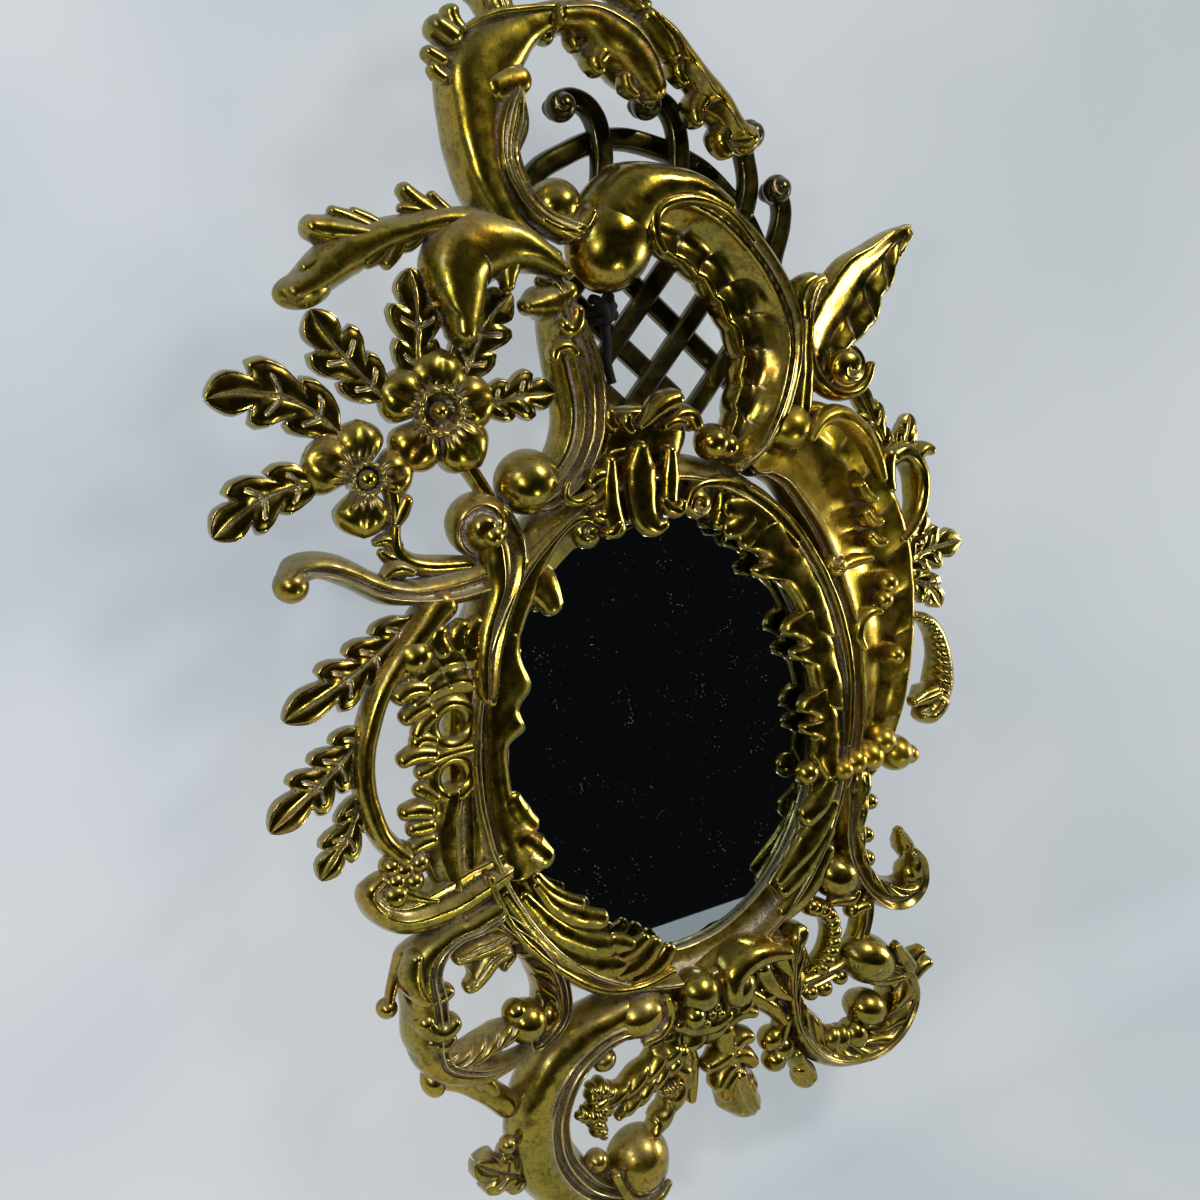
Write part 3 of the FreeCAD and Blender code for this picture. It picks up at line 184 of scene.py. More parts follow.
def scroll(first, second, height, depths=SCROLL, ends=(0.8, 0.8), frills=(), rows=ROWS,
           columns=COLUMNS, girth=1.25):
    """A carved band between two drawn edge lines.

    Front points run from the first edge (u = -1) to the second (u = 1), at the depth that the
    height function gives over the waist. The back is flat with drawn-in sides. Each end is round:
    the width shrinks as a cosine while the row moves outwards as a sine. Frills push an edge out
    in lobes, each given as (side, count, reach in mm, from t, to t). No row is thicker than girth
    times its width, so that slender parts are round and stand free of the wall.
    """
    rows, columns = round(rows * FINENESS), round(columns * FINENESS)
    near = through(drawn(first), rows)
    far = through(drawn(second), rows)
    middle = (near + far) / 2
    half = (far - near) / 2
    back, front = np.multiply(depths, MM)
    back = np.maximum(back, front - girth * 2 * np.linalg.norm(half, axis=1))
    back = np.r_[np.full(END_ROWS, back[0]), back, np.full(END_ROWS, back[-1])][:, None]
    turn = np.linspace(0, np.pi / 2, END_ROWS + 1)[1:]
    cosine = np.maximum(np.cos(turn), 0.02)
    t = np.linspace(0, 1, rows)
    for end, nearby, bulge in ((0, 1, ends[0]), (-1, -2, ends[1])):
        forward = unit(middle[end] - middle[nearby])
        reach = np.linalg.norm(half[end]) * bulge
        extra = middle[end] + np.outer(np.sin(turn) * reach, forward)
        narrow = np.outer(cosine, half[end])
        if end == 0:
            middle = np.vstack([extra[::-1], middle])
            half = np.vstack([narrow[::-1], half])
        else:
            middle = np.vstack([middle, extra])
            half = np.vstack([half, narrow])
    shrink = np.r_[cosine[::-1], np.ones(rows), cosine]
    t = np.r_[np.zeros(END_ROWS), t, np.ones(END_ROWS)]
    even = np.linspace(-1, 1, columns)
    u = 0.65 * even + 0.35 * np.sin(even * np.pi / 2)
    t_grid, u_grid = np.meshgrid(t, u, indexing="ij")
    share = np.clip(height(t_grid, u_grid), 0, 1.15)
    share = 0.15 + (share - 0.15) * shrink[:, None] ** 0.8
    edge_gain = np.zeros_like(t_grid)
    for side, count, reach, start, stop in frills:
        inside = window(start, stop, 0.03, t_grid)
        on_side = np.clip(u_grid * side, 0, 1) ** 2
        edge_gain += side * reach * MM * inside * on_side * lobes(count * t_grid, 0.75)
    outward = half / np.maximum(np.linalg.norm(half, axis=1, keepdims=True), 1e-9)
    flat = middle[:, None] + half[:, None] * u_grid[..., None]
    flat = flat + outward[:, None] * edge_gain[..., None]
    side_depth = back + (front - back) * WAIST
    depth = side_depth + (front - side_depth) * share
    face = as_points(flat[..., 0], flat[..., 1], depth)
    back_u = np.asarray(BACK_SHARES)
    last = outward[:, None] * edge_gain[:, -1:, None]
    first_gain = outward[:, None] * edge_gain[:, :1, None]
    weight = (back_u + 1) / 2
    rear = middle[:, None] + half[:, None] * back_u[None, :, None]
    rear = rear + last * weight[None, :, None] + first_gain * (1 - weight)[None, :, None]
    rear_depth = back + (side_depth - back) * np.asarray(BACK_DEPTH_SHARES)
    middle_depth = back + (front - back) * 0.3
    rear_depth = middle_depth + (rear_depth - middle_depth) * shrink[:, None]
    return np.concatenate([face, as_points(rear[..., 0], rear[..., 1], rear_depth)], axis=1)


def edges_of(line, widths):
    """Two drawn edge lines on either side of a drawn line that is as wide as the widths say."""
    middle = through(drawn(line), EDGE_SPOTS)
    along = unit(np.gradient(middle, axis=0))
    side = np.stack([-along[:, 1], along[:, 0]], axis=1)
    at = np.linspace(0, 1, EDGE_SPOTS)
    width = np.interp(at, np.linspace(0, 1, len(widths)), widths) * UNIT[0] / 2
    return (middle + side * width[:, None]) / UNIT, (middle - side * width[:, None]) / UNIT


def stem(line, widths, height=None, depths=ARM, rows=ROWS, columns=COLUMNS, **rest):
    """A slender scroll along one drawn line, with a blunt end and a grid of rows and columns."""
    widths = [*widths[:-1], max(widths[-1], BLUNT_END * widths[-2])]
    near, far = edges_of(line, widths)
    return scroll(near, far, height or relief(1.0, 2.2), depths, rows=rows, columns=columns,
                  **rest)


def volute(spot, radius, depths=(BACK, BERRY_FRONT), turns=0.0, hand=1.0, start=0.0,
           groove=0.16, stretch=1.0, lean=0.0):
    """A boss: a domed disc, with a spiral groove where turns are given.

    At radius share q and angle a, the dome is (1 - q^2)^(1/2). The groove is a narrow bell curve
    where turns times q plus the angle's share of a turn is a whole number. Stretch lengthens the
    disc along the direction lean, in degrees.
    """
    centre = drawn(spot)
    size = radius * UNIT[0]
    back, front = np.multiply(depths, MM)
    back = max(back, front - 2.1 * size * stretch)
    q_front = np.sin(np.linspace(np.pi / 2, 0.06, 18 if turns else 14))[:, None]
    angle = around(60 if turns else 48)[None, :]
    winding = turns * q_front ** 0.8 + hand * angle / (2 * np.pi) + start
    valley = np.exp(-((winding - np.round(winding)) / 0.13) ** 2)
    carve = groove * valley * smoothstep(0.12, 0.3, q_front) * (1 - smoothstep(0.9, 1.0, q_front))
    dome = np.sqrt(np.clip(1 - q_front ** 2, 0, 1)) - (carve if turns else 0)
    rise = min((front - back) * 0.62, size * 1.15)
    waist = front - rise
    q_back = np.array([0.08, 0.3, 0.55, 0.75, 0.9, 0.98])[:, None]
    back_depth = 1 - np.sqrt(1 - q_back ** 2)
    q = np.vstack([q_back, q_front])
    depth = np.vstack([
        np.broadcast_to(back + (waist - back) * back_depth, (len(q_back), angle.size)),
        waist + rise * np.broadcast_to(dome, (len(q_front), angle.size)),
    ])
    far = q * size
    across = far * np.cos(angle)
    up = far * np.sin(angle)
    tilt = np.radians(lean)
    longer = (across * np.cos(tilt) + up * np.sin(tilt)) * (stretch - 1)
    across = across + longer * np.cos(tilt)
    up = up + longer * np.sin(tilt)
    return as_points(centre[0] + across, centre[1] + up, depth)


def bosses(spots, depths=ARM):
    """Round swellings, each given as (across, up, radius)."""
    return [volute(spot[:2], spot[2], depths) for spot in spots]


def leaf(line, width, count, depths=(19, 32)):
    """A lobed leaf along a drawn midrib, with one lobe less than count on each side.

    Each edge is a smooth line through spots that are given by where their rib leaves the midrib,
    how far along they lie and their share of the half width. Every side lobe sweeps forward past
    the notch after it. A point between midrib and edge lies on a rib that bends forward. Across
    each half the blade swells as a half sine. The midrib and one vein to each lobe are narrow
    bell-curve grooves, and the edge rolls down.
    """
    size = 0.62 / (count - 1)
    knots = [(0.0, 0.0, 0.16), (0.03, 0.04, 0.20)]
    for k in range(count - 1):
        base = 0.03 + k * size
        broad = (0.86, 1.0, 1.0, 0.9)[k]
        knots += [
            (base + 0.12 * size, base + 0.26 * size, 0.62 * broad),
            (base + 0.30 * size, base + 0.62 * size, 0.90 * broad),
            (base + 0.48 * size, base + 0.98 * size, 1.00 * broad),
            (base + 0.66 * size, base + 1.26 * size, 0.84 * broad),
            (base + 0.84 * size, base + 1.16 * size, 0.46)]
    end = 0.03 + (count - 1) * size
    for along, reach, broad in ((0.16, 0.30, 0.58), (0.34, 0.52, 0.64), (0.52, 0.70, 0.56),
                                (0.70, 0.85, 0.38), (0.86, 0.95, 0.20), (0.97, 1.0, 0.03)):
        knots.append((end + along * (1 - end), end + reach * (1 - end), broad))
    knots = np.array(knots)
    place = np.linspace(0, 1, len(knots))
    fine = np.linspace(0, 1, LEAF_ROWS)
    edge = np.column_stack([np.interp(fine, place, knots[:, k]) for k in range(3)])
    kernel = np.array([1, 3, 4, 3, 1]) / 12
    padded = np.vstack([edge[:1]] * 2 + [edge] + [edge[-1:]] * 2)
    edge = sum(weight * padded[k:k + LEAF_ROWS] for k, weight in enumerate(kernel))
    rib, reach, broad = (edge[:, k:k + 1] for k in range(3))
    midrib = through(drawn(line), 2 * LEAF_ROWS)
    slope = unit(np.gradient(midrib, axis=0))
    v = np.linspace(-1, 1, LEAF_COLUMNS)[None, :]
    at = rib + (reach - rib) * np.abs(v) ** 1.15
    steps = np.linspace(0, 1, 2 * LEAF_ROWS)
    centre = np.stack([np.interp(at, steps, midrib[:, k]) for k in range(2)], axis=-1)
    side = np.stack([np.interp(at, steps, -slope[:, 1]), np.interp(at, steps, slope[:, 0])], -1)
    flat = centre + side * (broad * v * width * UNIT[0] / 2)[..., None]
    back, front = np.multiply(depths, MM)
    swell = np.sin(np.pi * np.abs(v) ** 0.8) * np.clip(broad * 1.1, 0, 1)
    rib_line = 0.17 * np.exp(-(v / 0.035) ** 2) * (1 - smoothstep(0.86, 0.97, rib))
    middle = (rib - 0.03) / size - 0.50
    off_vein = (middle - np.round(middle)) * np.ones_like(v)
    vein = 0.13 * np.exp(-(off_vein / 0.045) ** 2) * smoothstep(0.03, 0.1, np.abs(v))
    vein = vein * (1 - smoothstep(0.50, 0.62, np.abs(v))) * (rib < end)
    arc = (1 - LEAF_DIP) + LEAF_DIP * np.sin(np.pi * (0.1 + 0.75 * at))
    rim = 0.10 * np.exp(-((np.abs(v) - 0.90) / 0.06) ** 2)
    share = arc * (0.66 + 0.16 * swell + rim - rib_line - vein) - 0.42 * np.abs(v) ** 14
    lowest = back + LEAF_THICKNESS
    depth = lowest + (front - lowest) * np.clip(share, 0, 1)
    under = np.maximum(depth - LEAF_THICKNESS - 2.5 * MM * (1 - v ** 2), back)
    return blade(flat[..., 0], flat[..., 1], depth, under)


def petal(heart, middle, radius, lift):
    """One round cupped petal that points from the flower's heart to its own middle.

    Along r from the heart and across a, its half width grows as a root and closes in a circle.
    It is a dome with a dent along its middle line, ribs near the heart and a rolled rim. Lift, in
    mm, raises the dome.
    """
    centre = drawn(heart)
    reach = drawn(middle) - centre
    size = radius * UNIT[0]
    length = np.linalg.norm(reach) + size
    forward = unit(reach)
    side = np.array([-forward[1], forward[0]])
    r = np.linspace(0, 1, PETAL_ROWS)[:, None]
    a = np.linspace(-1, 1, PETAL_COLUMNS)[None, :]
    turn = (length - size) / length
    inner = 0.34 + 0.66 * smoothstep(0.0, turn, r) ** 0.8
    outer = np.sqrt(np.clip(1 - ((r - turn) / (1 - turn)) ** 2, 0.0004, 1))
    width = size * np.where(r < turn, inner, outer)
    bow = 1 - 0.03 * a ** 2 * smoothstep(turn * 0.6, 1, r)
    flat = centre + forward * (0.16 * length + 0.84 * length * r * bow)[..., None]
    flat = flat + side * (width * a)[..., None]
    dome = np.sqrt(np.clip(1 - np.abs(a) ** 2.6, 0, 1)) * np.sin(np.pi * (0.08 + 0.86 * r)) ** 0.5
    dent = 0.06 * np.exp(-(a / 0.20) ** 2) * smoothstep(0.1, 0.4, r)
    dent = dent * (1 - smoothstep(0.6, 0.95, r))
    ribs = 0.04 * np.cos(np.pi * 6 * a) * (1 - smoothstep(0.25, 0.5, r)) * smoothstep(0.0, 0.1, r)
    back, front = np.multiply(PETAL, MM)
    share = 0.12 + 0.88 * dome - dent + ribs
    lowest = back + 4 * MM
    depth = lowest + (front - lowest + lift * MM) * np.clip(share, 0, 1.1)
    under = np.maximum(depth - 3 * MM - 9 * MM * (1 - a ** 2) * np.sin(np.pi * r), back)
    return blade(flat[..., 0], flat[..., 1], depth, under)


def flower(heart, petals, cup_radius, button):
    """Petals, each given as (across, up, radius, lift in mm), round a cup with a button in it."""
    shells = [petal(heart, row[:2], row[2], row[3]) for row in petals]
    return [*shells, ring_wall(heart, cup_radius), volute(heart, button, (20, 36))]


def ring_wall(spot, radius):
    """A cup's wall, turned: a round lip whose edge is waved, over a hollow.

    Its profile is given as (share of the radius, depth in mm).
    """
    centre = drawn(spot)
    size = radius * UNIT[0]
    angle = around(90)[None, :]
    profile = np.array([
        (0.02, 19.0), (0.5, 19.0), (1.05, 20.0), (1.2, 26.0), (1.22, 33.5), (1.08, 36.0),
        (0.90, 34.5), (0.80, 28.0), (0.66, 25.0), (0.3, 24.0), (0.02, 24.0),
    ])
    profile = through(profile * (size, MM), 60)
    wave = 1 + 0.05 * np.cos(angle * 14) * smoothstep(0.5, 1.0, profile[:, :1] / size)
    far = profile[:, :1] * wave
    depth = profile[:, 1:] * np.ones_like(angle)
    return as_points(centre[0] + far * np.cos(angle), centre[1] + far * np.sin(angle), depth)


def eyelet(spot, inner, outer, depths):
    """Rounded wood round a pierced hole: an arch from its edge to the outer one, swept."""
    centre = drawn(spot)
    back, front = np.multiply(depths, MM)
    share = np.linspace(0, 1, 16)
    radius = (inner + (outer - inner) * share) * UNIT[0]
    arch = back + (front - back) * (0.62 + 0.38 * np.sin(np.pi * (0.08 + 0.84 * share)) ** 0.7)
    radius = np.r_[radius, radius[::-1]][None, :]
    depth = np.r_[arch, np.full_like(arch, back)][None, :]
    angle = around(64)[:, None]
    return as_points(centre[0] + radius * np.cos(angle), centre[1] + radius * np.sin(angle),
                     depth * np.ones_like(angle))


def border_band(turn_from, turn_to, waves, reach):
    """The leaf strip's plain ground: a low arch from its outer edge to a gently waved inner edge.

    It runs between two angles in degrees, and its waves reach that many millimetres inwards.
    """
    t = np.linspace(0, 1, 200)[:, None]
    s = np.linspace(0, 1, 30)[None, :]
    turn = np.radians(turn_from + (turn_to - turn_from) * t)
    fade = window(0, 1, 0.03, t)
    inner = -reach * MM * (0.45 + 0.55 * lobes(waves * t, 0.7)) * fade
    outer, back, low, rise = 13.4 * MM, 25.1 * MM, 25.3 * MM, 4.2 * MM
    margin = outer + (inner - outer) * s
    arch = np.sin(np.pi * np.clip(0.04 + 0.80 * s, 0, 1)) ** 0.6
    depth = low + rise * arch * (0.3 + 0.7 * fade)
    across = (HALF_WIDTH + margin) * np.cos(turn)
    up = (HALF_HEIGHT + margin) * np.sin(turn)
    return blade(across, up, depth, np.full_like(depth, back))


def oval_sweep(profile):
    """A closed profile of (margin, depth) in millimetres, swept round the sight oval."""
    profile = np.asarray(profile, float) * MM
    angle = around(RING_COLUMNS)[:, None]
    across = (HALF_WIDTH + profile[None, :, 0]) * np.cos(angle)
    up = (HALF_HEIGHT + profile[None, :, 0]) * np.sin(angle)
    depth = np.broadcast_to(profile[None, :, 1], across.shape)
    return as_points(across, up, depth)


def shell_faces(rows, columns, ring):
    """Quads of a grid that closes across its columns, and along its rows where it is a ring."""
    row = np.arange(rows if ring else rows - 1)[:, None]
    column = np.arange(columns)[None, :]
    after = (row + 1) % rows
    beside = (column + 1) % columns
    corners = [row * columns + column, row * columns + beside,
               after * columns + beside, after * columns + column]
    shape = (len(row), columns)
    return np.stack([np.broadcast_to(c, shape) for c in corners], -1).reshape(-1, 4)


def pole_faces(columns, row_start, pole):
    """Triangles from one row to a pole."""
    column = np.arange(columns)
    return np.stack([
        row_start + column, row_start + (column + 1) % columns, np.full(columns, pole)], axis=1)


def signed_volume(points, quads, triangles):
    """Sum of the signed tetrahedra from the origin: negative where faces point inwards."""
    split = np.vstack([quads[:, [0, 1, 2]], quads[:, [0, 2, 3]], triangles])
    a, b, c = (points[split[:, k]] for k in range(3))
    return np.einsum("ij,ij->i", a, np.cross(b, c)).sum()


def hand_cut(points):
    """The carver's slight unevenness: crossed sine waves of 13 to 31 mm move a point in depth."""
    across, depth, up = points[:, 0] / MM, points[:, 1] / MM, points[:, 2] / MM
    wave = np.sin(across / 3.1 + 1.7 * np.sin(up / 5.3))
    wave = wave * np.sin(up / 2.7 + 1.1 * np.sin(across / 6.1))
    wave = wave + 0.8 * np.sin(across / 4.9 - up / 4.3) * np.sin(depth / 4.0 + up / 7.0)
    moved = points.copy()
    moved[:, 1] += 0.09 * MM * wave
    moved[:, 0] += 0.10 * MM * np.sin(up / 3.7 + depth / 3.0)
    moved[:, 2] += 0.10 * MM * np.sin(across / 3.9 + depth / 3.3)
    return moved


def closed_mesh(name, shells, rings=()):
    """One mesh of closed grids; rows end in poles unless the grid is a ring."""
    points = []
    quads = []
    triangles = []
    start = 0
    for grid, ring in [(g, False) for g in shells] + [(g, True) for g in rings]:
        rows, columns = grid.shape[:2]
        own = grid.reshape(-1, 3)
        own_quads = shell_faces(rows, columns, ring)
        own_triangles = np.zeros((0, 3), int)
        if not ring:
            own = np.vstack([own, grid[0].mean(0), grid[-1].mean(0)])
            first = pole_faces(columns, 0, rows * columns)[:, ::-1]
            last = pole_faces(columns, (rows - 1) * columns, rows * columns + 1)
            own_triangles = np.vstack([first, last])
        if signed_volume(own - own.mean(0), own_quads, own_triangles) < 0:
            own_quads = own_quads[:, ::-1]
            own_triangles = own_triangles[:, ::-1]
        points.append(own)
        quads.append(own_quads + start)
        triangles.append(own_triangles + start)
        start += len(own)
    points = hand_cut(np.vstack(points))
    quads = np.vstack(quads)
    triangles = np.vstack(triangles)
    mesh = bpy.data.meshes.new(name)
    mesh.vertices.add(len(points))
    mesh.vertices.foreach_set("co", points.astype(np.float32).ravel())
    corners = np.concatenate([quads.ravel(), triangles.ravel()]).astype(np.int32)
    mesh.loops.add(len(corners))
    mesh.loops.foreach_set("vertex_index", corners)
    begins = np.concatenate([
        np.arange(len(quads)) * 4, len(quads) * 4 + np.arange(len(triangles)) * 3])
    mesh.polygons.add(len(begins))
    mesh.polygons.foreach_set("loop_start", begins.astype(np.int32))
    mesh.update(calc_edges=True)
    mesh.shade_smooth()
    return mesh


def new_object(name, data):
    """An object in the scene that shows some data."""
    made = bpy.data.objects.new(name, data)
    bpy.context.scene.collection.objects.link(made)
    return made


def stand(thing, axes, place):
    """Turns and moves an object: its three axes become the columns of its matrix."""
    placed = np.eye(4)
    placed[:3, :3] = np.column_stack(axes)
    placed[:3, 3] = place
    thing.matrix_world = Matrix(placed.tolist())


def piece(name, shells, material, rings=()):
    """An object of closed shells that stands for the CAD node of its name."""
    made = new_object(name + "_carved", closed_mesh(name, shells, rings))
    made.data.materials.append(material)
    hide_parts(name)
    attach(made, "root")
    return made


def linear(code):
    """An sRGB hex colour as linear values with full alpha."""
    value = np.array([int(code[k:k + 2], 16) for k in (1, 3, 5)]) / 255
    value = np.where(value <= 0.04045, value / 12.92, ((value + 0.055) / 1.055) ** 2.4)
    return (*value.tolist(), 1.0)


def per(millimetres):
    """Texture scale at which a pattern's cells are that many millimetres wide."""
    return 1 / (millimetres * MM)


def add(tree, kind, inputs=None, **settings):
    """Adds one node with its settings; an input is a value or the socket that feeds it."""
    made = tree.nodes.new(kind)
    for key, value in settings.items():
        setattr(made, key, value)
    for key, value in (inputs or {}).items():
        if isinstance(value, bpy.types.NodeSocket):
            tree.links.new(value, made.inputs[key])
        else:
            made.inputs[key].default_value = value
    return made


def new_material(name):
    """An empty node material and its tree."""
    made = bpy.data.materials.new(name)
    made.use_nodes = True
    made.node_tree.nodes.clear()
    return made, made.node_tree


def mix(tree, factor, first, second):
    """Colour socket between two colours, each a hex code or a socket."""
    made = tree.nodes.new("ShaderNodeMix")
    made.data_type = "RGBA"
    if isinstance(factor, bpy.types.NodeSocket):
        tree.links.new(factor, made.inputs[0])
    else:
        made.inputs[0].default_value = factor
    sockets = [socket for socket in made.inputs if socket.type == "RGBA"]
    for socket, value in zip(sockets, (first, second)):
        if isinstance(value, str):
            socket.default_value = linear(value)
        else:
            tree.links.new(value, socket)
    return [socket for socket in made.outputs if socket.type == "RGBA"][0]


def noise(tree, where, cell, detail=4.0, roughness=0.6):
    """Noise whose cells are that many millimetres wide."""
    return add(tree, "ShaderNodeTexNoise", {
        "Vector": where, "Scale": per(cell), "Detail": detail, "Roughness": roughness,
    }).outputs["Fac"]


def between(tree, value, low, high, start=0.0, stop=1.0):
    """A socket's value, carried from one range to another and clamped."""
    return add(tree, "ShaderNodeMapRange", {
        "Value": value, "From Min": low, "From Max": high, "To Min": start, "To Max": stop,
    }).outputs["Result"]


def maths(tree, operation, *values):
    """Result of one arithmetic node."""
    return add(tree, "ShaderNodeMath", dict(enumerate(values)), operation=operation).outputs[0]


def gilding(name, top_dust, crevice_dust, polish, dark=0.0, warm=0.0):
    """Water gilding: gold leaf on clay, burnished with agate, under a thin darkened varnish.

    Leaf colour drifts from bronze brown over olive to gold and amber in patches; hollows are
    darkened to amber brown as painted shade, edges are lightened as a painted highlight, upward
    faces carry grey dust, crevices hold pale dust, and black specks show where the leaf is worn
    away. Dark pulls all of it towards bronze brown, and warm towards bright amber gold as a
    painted sheen.
    """
    made, tree = new_material(name)
    where = add(tree, "ShaderNodeTexCoord").outputs["Object"]
    shape = add(tree, "ShaderNodeNewGeometry")
    close = add(tree, "ShaderNodeAmbientOcclusion", {"Distance": 5 * MM}, samples=4).outputs["AO"]
    patch = noise(tree, where, 24, 5.0)
    stain = noise(tree, where, 9)
    smudge = noise(tree, where, 5, 5.0, 0.7)
    fine = noise(tree, where, 1.8, 4.0, 0.7)
    grain = noise(tree, where, 0.8, 2.0)
    dent = between(tree, shape.outputs["Pointiness"], 0.500, 0.455)
    shut = between(tree, close, 0.60, 0.25)
    hollow = maths(tree, "MAXIMUM", dent, shut)
    edge = between(tree, shape.outputs["Pointiness"], 0.525, 0.60)
    colour = mix(tree, between(tree, patch, 0.40, 0.60), "#9c8c2b", "#b5972c")
    for value, low, high, most, code in (
            (stain, 0.50, 0.62, 0.8, "#7c6e22"), (smudge, 0.54, 0.64, 0.65, "#574717"),
            (patch, 0.58, 0.66, 0.6, "#a87a1e"), (fine, 0.50, 0.64, 0.45, "#4d3f17")):
        colour = mix(tree, between(tree, value, low, high, 0.0, most), colour, code)
    colour = mix(tree, dark, colour, "#26240f")
    colour = mix(tree, warm, colour, "#c09c1e")
    # painted shade: hollows found by occlusion and pointiness are darkened towards amber brown
    colour = mix(tree, maths(tree, "MULTIPLY", hollow, 0.85), colour, "#4e300b")
    # painted highlight: convex edges found by pointiness are lightened towards pale gold
    colour = mix(tree, maths(tree, "MULTIPLY", edge, 0.8 - 0.8 * dark), colour, "#dccb92")
    colour = mix(tree, between(tree, fine, 0.655, 0.70), colour, "#14100a")
    upward = between(tree, add(tree, "ShaderNodeSeparateXYZ", {
        0: shape.outputs["Normal"]}).outputs["Z"], 0.15, 0.85)
    settled = maths(tree, "MULTIPLY", upward, between(tree, smudge, 0.36, 0.58, 0.25, 1.0))
    settled = maths(tree, "MULTIPLY", settled, top_dust)
    film = between(tree, stain, 0.36, 0.50, 0.06 * top_dust, 0.0)
    settled = maths(tree, "MAXIMUM", settled, film)
    packed = maths(tree, "MULTIPLY", hollow, between(tree, grain, 0.42, 0.54))
    packed = maths(tree, "MULTIPLY", packed, between(tree, patch, 0.38, 0.52, 0.35, 1.0))
    packed = maths(tree, "MULTIPLY", packed, crevice_dust)
    dull = maths(tree, "MAXIMUM", settled, packed)
    colour = mix(tree, settled, colour, "#857c5e")
    colour = mix(tree, packed, colour, "#e2dac8")
    rough = between(tree, stain, 0.38, 0.66, polish, polish + 0.16)
    rough = maths(tree, "MULTIPLY_ADD", dull, 0.45, rough)
    rough = maths(tree, "MULTIPLY_ADD", hollow, 0.12, rough)
    metal = maths(tree, "MULTIPLY_ADD", dull, -0.9, 1.0)
    bump = add(tree, "ShaderNodeBump", {
        "Height": stain, "Strength": 0.25, "Distance": 0.4 * MM}).outputs["Normal"]
    bump = add(tree, "ShaderNodeBump", {
        "Height": fine, "Strength": 0.25, "Distance": 0.12 * MM, "Normal": bump,
    }).outputs["Normal"]
    shader = add(tree, "ShaderNodeBsdfPrincipled", {
        "Base Color": colour, "Metallic": metal, "Roughness": rough, "Normal": bump,
        "Coat Weight": 0.35, "Coat Roughness": 0.05})
    add(tree, "ShaderNodeOutputMaterial", {"Surface": shader.outputs["BSDF"]})
    return made


def cable(points, radius):
    """A round strand along a smooth line: rings at right angles to the line, with round ends."""
    line = through(points, STRAND_ROWS)
    along = unit(np.gradient(line, axis=0))
    first = unit(np.cross(along, (0.0, 1.0, 0.03)))
    second = np.cross(along, first)
    turn = np.linspace(0, np.pi / 2, STRAND_END_ROWS + 1)[1:]
    size = np.r_[np.cos(turn)[::-1], np.ones(STRAND_ROWS), np.cos(turn)]
    size = np.maximum(size, 0.05) * radius
    before = line[0] - np.outer(np.sin(turn)[::-1] * radius, along[0])
    after = line[-1] + np.outer(np.sin(turn) * radius, along[-1])
    line = np.vstack([before, line, after])
    kept = np.clip(np.arange(len(line)) - STRAND_END_ROWS, 0, STRAND_ROWS - 1)
    first = first[kept]
    second = second[kept]
    angle = around(STRAND_SIDES)
    circles = np.cos(angle)[None, :, None] * first[:, None]
    circles = circles + np.sin(angle)[None, :, None] * second[:, None]
    return line[:, None] + circles * size[:, None, None]


gilt = gilding("burnished_gilding", 0.50, 0.8, 0.15)
gilt_clean = gilding("clean_gilding", 0.15, 0.35, 0.15, dark=0.10)
gilt_dusty = gilding("dusty_gilding", 0.95, 0.9, 0.20, 0.10)
# the cove's copy: little dust, and a leaf colour pulled towards bright amber gold as a painted
# sheen
gilt_painted_sheen = gilding("painted_sheen_gilding", 0.15, 0.4, 0.24, warm=0.28)
gilt_leaf = gilding("leaf_gilding", 0.4, 1.0, 0.13, 0.15)


def silvered_glass():
    """Silvered mirror glass: a dark, sharp reflection under fine pale dust specks."""
    made, tree = new_material("silvered_glass")
    where = add(tree, "ShaderNodeTexCoord").outputs["Object"]
    speckle = add(tree, "ShaderNodeTexVoronoi", {
        "Vector": where, "Scale": per(1.7)}).outputs["Distance"]
    size = between(tree, noise(tree, where, 14, 3.0, 0.5), 0.44, 0.75, 0.0, 0.15)
    dust = maths(tree, "LESS_THAN", speckle, size)
    colour = mix(tree, dust, "#a8b1b1", "#c9cdc9")
    rough = maths(tree, "MULTIPLY_ADD", dust, 0.6, 0.015)
    metal = maths(tree, "MULTIPLY_ADD", dust, -1.0, 1.0)
    shader = add(tree, "ShaderNodeBsdfPrincipled", {
        "Base Color": colour, "Metallic": metal, "Roughness": rough})
    add(tree, "ShaderNodeOutputMaterial", {"Surface": shader.outputs["BSDF"]})
    return made


def plain(name, code, rough, metallic, cell, depth):
    """A plain finish with a noise of one cell size that stains it and roughens its surface."""
    made, tree = new_material(name)
    where = add(tree, "ShaderNodeTexCoord").outputs["Object"]
    grain = noise(tree, where, cell, 5.0, 0.5)
    shade = between(tree, grain, 0.3, 0.7, 0.75, 1.1)
    tint = add(tree, "ShaderNodeHueSaturation", {
        "Color": linear(code), "Value": shade}).outputs["Color"]
    bump = add(tree, "ShaderNodeBump", {
        "Height": grain, "Strength": 0.4, "Distance": depth * MM}).outputs["Normal"]
    shader = add(tree, "ShaderNodeBsdfPrincipled", {
        "Base Color": tint, "Metallic": metallic, "Roughness": rough, "Normal": bump})
    add(tree, "ShaderNodeOutputMaterial", {"Surface": shader.outputs["BSDF"]})
    return made


mirror = silvered_glass()
board = plain("softwood_board", "#7a5c3c", 0.75, 0.0, 3.0, 0.3)
steel = plain("plain_steel", "#8b8883", 0.35, 1.0, 1.2, 0.05)
brass = plain("tarnished_brass", "#a98a45", 0.38, 1.0, 2.0, 0.05)
yarn = plain("black_yarn", "#0b0a0a", 0.9, 0.0, 0.8, 0.3)
dark_gilt = gilding("lattice_gilding", 0.1, 0.2, 0.26, 0.90)

